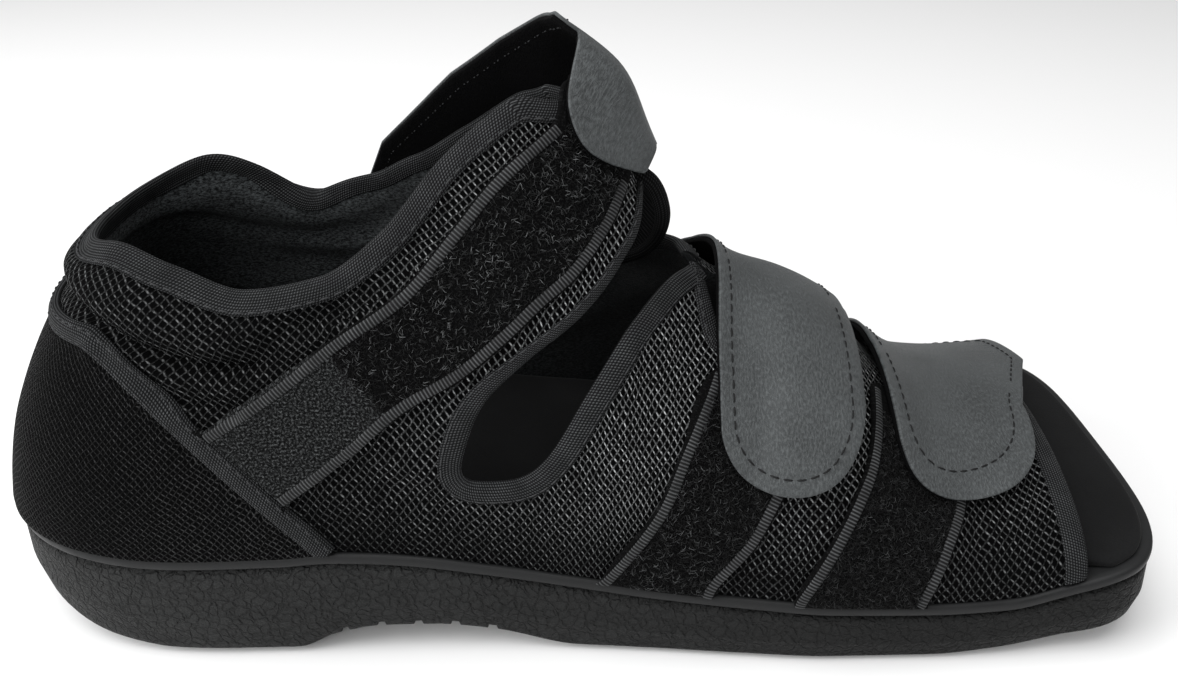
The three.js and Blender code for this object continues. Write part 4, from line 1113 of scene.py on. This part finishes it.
def pile(name, way, t, base, seed, thick=0.10, reach=(0.35, 0.85), rise=(0.3, 0.7)):
    """Curled loops standing on the tape, one at each place.  A loop is a
    three-sided thread of five rings on half an ellipse: p = root + a cos(q) r +
    n sin(q) h + b c sin(2 q), with its width r, height h and sideways curl c at
    random about their means, and its heading a at random in the cloth."""
    chance = np.random.default_rng(seed)
    count = len(way)
    root, n = skin(way, t, 0.0, base), outward(way, t)
    heading = chance.uniform(0, 2 * np.pi, count)
    along = on_last(way + 0.5, t) - on_last(way - 0.5, t)
    along /= np.linalg.norm(along, axis=1, keepdims=True)
    over = np.cross(n, along)
    a = along * np.cos(heading)[:, None] + over * np.sin(heading)[:, None]
    b = np.cross(n, a)
    r, h = chance.uniform(*reach, count), chance.uniform(*rise, count)
    c = chance.normal(0, 0.28, count)
    q = np.linspace(0, np.pi, 5)
    centre = (root[:, None] + a[:, None] * (r[:, None] * np.cos(q))[..., None]
              + n[:, None] * (h[:, None] * np.sin(q))[..., None]
              + b[:, None] * (c[:, None] * np.sin(2 * q))[..., None])
    run = np.gradient(centre, axis=1)
    side = np.cross(run, b[:, None])
    side /= np.maximum(np.linalg.norm(side, axis=-1, keepdims=True), 1e-9)
    other = np.broadcast_to(b[:, None], side.shape)
    turn = np.arange(3) * 2 * np.pi / 3
    ring = side[:, :, None] * np.cos(turn)[:, None] + other[:, :, None] * np.sin(turn)[:, None]
    points = centre[:, :, None] + thick / 2 * ring
    number = np.arange(points.size // 3).reshape(points.shape[:3])
    threads = tube_faces(number)[:, [0, 3, 2, 1]]
    tone = np.repeat(chance.beta(1.1, 1.9, count), 15)
    piece = make_piece(name, points.reshape(-1, 3), threads, [fluff.made], tone=tone, crease=180)
    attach(piece, "root")
    return piece


# edges of each tape that keep their woven selvedge, as lines in the side view
selvedges = {
    "ankle_loop_tape": (
        [(0.222, 0.480), (0.278, 0.553), (0.324, 0.622), (0.379, 0.693), (0.417, 0.775), (0.455, 0.858),
         (0.494, 0.915)],
        [(0.276, 0.346), (0.328, 0.424), (0.372, 0.500), (0.420, 0.556), (0.455, 0.612), (0.483, 0.662),
         (0.510, 0.702), (0.534, 0.755), (0.547, 0.800)]),
    "mid_loop_tape": (
        [(0.520, 0.170), (0.531, 0.197), (0.569, 0.314), (0.590, 0.409), (0.617, 0.505)],
        [(0.614, 0.130), (0.621, 0.175), (0.648, 0.248), (0.666, 0.314), (0.690, 0.405)]),
    "toe_loop_tape": (
        [(0.682, 0.130), (0.686, 0.161), (0.710, 0.255), (0.728, 0.318), (0.740, 0.355), (0.750, 0.392),
         (0.757, 0.420)],
        [(0.786, 0.110), (0.793, 0.153), (0.810, 0.219), (0.825, 0.258), (0.838, 0.300)])}
flat_base = np.array([(0.215, 0.500), (0.274, 0.330), (0.368, 0.493), (0.320, 0.618)]) * (LENGTH, INSTEP)
outlines = {
    "ankle_loop_tape": [
        (0.222, 0.480), (0.222, 0.480), (0.276, 0.346), (0.276, 0.346), (0.372, 0.500), (0.420, 0.556),
        (0.455, 0.612), (0.483, 0.662), (0.510, 0.702), (0.534, 0.755), (0.547, 0.800), (0.551, 0.850),
        (0.505, 0.960), (0.494, 0.915), (0.455, 0.858), (0.417, 0.775), (0.379, 0.693), (0.324, 0.622)],
    "mid_loop_tape": [
        (0.520, 0.060), (0.520, 0.060), (0.607, 0.060), (0.607, 0.060), (0.621, 0.175), (0.648, 0.248),
        (0.666, 0.314), (0.690, 0.405), (0.697, 0.475), (0.617, 0.505), (0.590, 0.409), (0.569, 0.314),
        (0.531, 0.197)],
    "toe_loop_tape": [
        (0.680, 0.040), (0.680, 0.040), (0.780, 0.040), (0.780, 0.040), (0.793, 0.153), (0.810, 0.219),
        (0.825, 0.258), (0.838, 0.300), (0.800, 0.370), (0.775, 0.395), (0.757, 0.420), (0.750, 0.392),
        (0.740, 0.355), (0.728, 0.318), (0.710, 0.255), (0.686, 0.161)]}
for node, rows in outlines.items():
    outline = rounded(rows, closed=True)
    x_from, x_to = outline[:, 0].min() - 1, outline[:, 0].max() + 1
    tape_ways, tape_t = np.meshgrid(np.arange(LAST_X - x_to, LAST_X - x_from, 1.0),
                                    np.linspace(0.004, np.pi / 2 - 0.004, 96), indexing="ij")

    def off_tape(way, t, outline=outline):
        """Distance beyond the tape's outline or below the top of the sole."""
        p = on_last(way, t)
        return np.maximum(-inside_by(outline, p[..., 0], p[..., 2]),
                          sole_top(p[..., 0]) + 0.12 - p[..., 2])

    way, t, kept = trimmed(tape_ways, tape_t, off_tape)
    points, faces, source, marks = thick_sheet(skin(way, t, 0, 1.6), skin(way, t, 0, 0.25), kept,
                                               bulge=0.3, rings=2)
    middles = points[faces].mean(1)
    plain = (inside_by(flat_base, middles[:, 0], middles[:, 2]) > 0).astype(int)
    tape = make_piece(node + "_sewn", points, faces, [pile_ground.made, flat_weave.made], plain,
                      cloth_place(on_last(tape_ways, tape_t)).reshape(-1, 2)[source], crease=60)
    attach(tape, "root")
    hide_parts(node)
    for name, rows, inward in zip(("_rear_selvedge", "_front_selvedge"), selvedges[node], (-1, 1)):
        line = from_side(rounded(rows), False, 0.8)
        if line[0][0] < line[0][-1]:
            inward = -inward
        offsets = [0.1, 0.3, 0.8, 1.3, 1.8, 2.3, 2.5]
        face = [(o, 0, h) for o, h in zip(offsets, (1.65, 1.85, 1.92, 1.95, 1.92, 1.85, 1.65))]
        strip = tape_along(node + name, beside(*line, [inward * o for o in offsets]), offsets, face,
                           [(o, 0, 1.5) for o in offsets], [ribbed.made])
        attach(strip, "root")
    # about four loops to a square millimetre, kept where the tape has its pile
    chance = np.random.default_rng(7)
    spots = int(4.2 * (x_to - x_from) * 95)
    w, tt = chance.uniform(LAST_X - x_to, LAST_X - x_from, spots), chance.uniform(0.01, np.pi / 2, spots)
    p = on_last(w, tt)
    on_pile = inside_by(outline, p[:, 0], p[:, 2]) > 2.6
    on_base = inside_by(flat_base, p[:, 0], p[:, 2]) >= 1
    good = on_pile & ~on_base & (p[:, 2] > sole_top(p[:, 0]) + 0.6)
    pile(node + "_pile", w[good], tt[good], 1.6, 11)

# Straps
# Three straps of coated cloth with hooks on the back, each sewn down on the far
# side, taken over the foot, and pressed on to the loop tape with a rounded tab.
coated = Finish("coated_strap", 0.5, specular_ior_level=0.25)
where = coated.place()
streak = coated.ease(coated.noise(where, 1.0, 3.0, 0.75, stretch=(1.7, 0.9, 1.0)), 0.36, 0.66)
cloudy = coated.noise(where, 14.0, 3.0)
coated.colour(coated.blend(coated.sum("MULTIPLY_ADD", cloudy, 0.5, coated.sum("MULTIPLY", streak, 0.5)),
                           (0.018, 0.0197, 0.0203), (0.098, 0.106, 0.1085)))
coated.rough(coated.ease(streak, 0, 1, 0.46, 0.66))
coated.bump(streak, 0.16, 0.9)
coated.bump(coated.noise(where, 9.0, 2.0), 0.6, 0.6)
hooks = Finish("hook_back", 0.9, specular_ior_level=0.04)
where = hooks.place(False)
stubble = hooks.noise(where, 0.4, 2.0, 0.8)
hooks.colour(hooks.blend(stubble, (0.0008, 0.0008, 0.0009), (0.006, 0.006, 0.0063)))
hooks.bump(stubble, 0.5, 1.0)
strap_rows = {
    "mid_strap": (
        [(0.617, 0.900), (0.617, 0.440), (0.622, 0.400), (0.634, 0.366), (0.652, 0.343), (0.672, 0.333),
         (0.690, 0.333), (0.708, 0.343), (0.723, 0.368), (0.733, 0.402), (0.736, 0.440), (0.736, 0.900)],
        [(0.617, 0.900), (0.617, 0.610), (0.606, 0.580), (0.590, 0.556), (0.572, 0.528), (0.556, 0.470),
         (0.552, 0.190), (0.733, 0.175), (0.736, 0.900)]),
    "toe_strap": (
        [(0.764, 0.700), (0.765, 0.375), (0.771, 0.330), (0.784, 0.298), (0.803, 0.276), (0.825, 0.264),
         (0.848, 0.262), (0.870, 0.266), (0.889, 0.277), (0.902, 0.292), (0.909, 0.312), (0.909, 0.700)],
        [(0.764, 0.700), (0.764, 0.165), (0.905, 0.190), (0.909, 0.700)]),
    "ankle_strap": (
        [(0.491, 1.300), (0.491, 1.010), (0.496, 0.966), (0.498, 0.941), (0.501, 0.920), (0.506, 0.893),
         (0.513, 0.869), (0.525, 0.847), (0.538, 0.827), (0.546, 0.812), (0.5515, 0.801), (0.5515, 1.300)],
        [(0.491, 1.300), (0.491, 1.045), (0.465, 1.004), (0.434, 0.960), (0.405, 0.918), (0.381, 0.870),
         (0.356, 0.818), (0.331, 0.768), (0.310, 0.680), (0.330, 0.560), (0.395, 0.440), (0.440, 0.505),
         (0.470, 0.600), (0.490, 0.690), (0.510, 0.755), (0.535, 0.800), (0.5515, 0.801), (0.5515, 1.300)])}


def over_foot(x, psi):
    """From x and an angle that runs on past the ridge, to way and t."""
    way = LAST_X - x
    return np.where(psi > np.pi / 2, WAY - way, way), np.minimum(psi, np.pi - psi)


def off_strap(x, psi, near, far, shrink, lead):
    """Distance beyond the strap's outline or under its sewn end.  Its front
    edge runs ahead of the outline by up to lead as it crosses the foot."""
    p = on_last(*over_foot(x, psi))
    x_here = p[..., 0] - lead * smooth((p[..., 0] - 238) / 22) * np.clip((psi - 1.4) / 0.55, 0, 1)
    inside = np.where(psi > np.pi / 2, inside_by(far, x_here, p[..., 2]),
                      inside_by(near, x_here, p[..., 2]))
    return np.maximum(shrink - inside, sole_top(p[..., 0]) + 8 + shrink - p[..., 2])


for node, (near, far) in strap_rows.items():
    near, far = np.array(near) * (LENGTH, INSTEP), np.array(far) * (LENGTH, INSTEP)
    for _ in range(2):           # cutting its corners twice rounds the tab
        near = np.stack([0.75 * near[:-1] + 0.25 * near[1:], 0.25 * near[:-1] + 0.75 * near[1:]], 1)
        near = near.reshape(-1, 2)
    lead = 11.0 if node == "toe_strap" else 0.0
    x_from = min(near[:, 0].min(), far[:, 0].min()) - 1
    x_to = min(max(near[:, 0].max(), far[:, 0].max()) + 1 + lead, 276.0)
    xs, psis = np.meshgrid(np.arange(x_from, x_to, 1.0), np.linspace(0.1, np.pi - 0.1, 170), indexing="ij")

    def arched(x, psi):
        """How far a strap stands off where it bridges the flaps' ridge."""
        y = on_last(*over_foot(x, psi))[..., 1]
        if node == "ankle_strap":
            return ((3.6 + 3.8 * np.exp(-((x - 150) / 7) ** 2))
                    * np.where(psi > np.pi / 2, 1 - smooth((y - 8) / 16), smooth((y + 14) / 11)))
        if node == "mid_strap":
            return 2.2 * np.exp(-((x - 175) / 14) ** 2) * np.exp(-((y - 6) / 18) ** 2)
        return np.zeros(y.shape)

    # each layer with the heights of its two sides and how far it is cut in
    for layer, low_at, high_at, shrink, finish in (("face", 3.5, 4.3, 0.0, coated),
                                                   ("hooks", 2.1, 3.45, 0.3, hooks)):
        x, angle, kept = trimmed(xs, psis, lambda a, b: off_strap(a, b, near, far, shrink, lead), most=np.pi)
        way, t = over_foot(x, angle)
        arch = arched(x, angle)
        points, faces, source, marks = thick_sheet(
            skin(way, t, 0, high_at + arch), skin(way, t, 0, low_at + arch), kept, bulge=0.25, rings=3)
        strap = make_piece(node + "_" + layer, points, faces, [finish.made], None,
                           cloth_place(on_last(*over_foot(xs, psis))).reshape(-1, 2)[source], crease=60)
        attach(strap, "root")
        if layer == "face":
            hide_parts(node)
    # the stitch line runs down the far outline's two sides and round the tab
    split = {"mid_strap": 7, "toe_strap": 2, "ankle_strap": 10}[node]
    for part, (edge, is_far) in enumerate(((far[:split], True), (near, False), (far[split:], True)), 1):
        run = np.concatenate([[0], np.cumsum(np.linalg.norm(np.diff(edge, axis=0), axis=1))])
        at = np.arange(0, run[-1], 1.0)
        side_line = np.stack([np.interp(at, run, edge[:, k]) for k in (0, 1)], 1)
        way, t = from_side(side_line, is_far, 1.0)
        x, angle = LAST_X - (WAY - way if is_far else way), (np.pi - t if is_far else t)

        def off_seam(x, psi):
            """Distance beyond a line 3.1 inside the strap's edge."""
            return off_strap(x, psi, near, far, 0.0, lead) + 3.1

        x, angle = settle(x, angle, off_seam, np.pi, 14)
        on_seam = np.abs(off_seam(x, angle)) < 0.25
        keep = on_seam & ((angle > np.pi / 2) == is_far) & (np.abs(angle - np.pi / 2) > 0.004)
        if keep.sum() < 4:
            continue
        way, t = even(*over_foot(x[keep], angle[keep]), 1.0)
        angle = np.pi - t if is_far else t
        x = LAST_X - (WAY - way if is_far else way)
        if node == "ankle_strap":
            seam = stitches(f"{node}_back_stitches_{part}", way, t, 2.2 + arched(x, angle), 2.6, 0.7, 0.4,
                            thread.made)
        if node != "ankle_strap" or is_far:
            seam = stitches(f"{node}_stitches_{part}", way, t, 4.3 + arched(x, angle), 2.7, 0.45, 0.45,
                            black_thread.made)
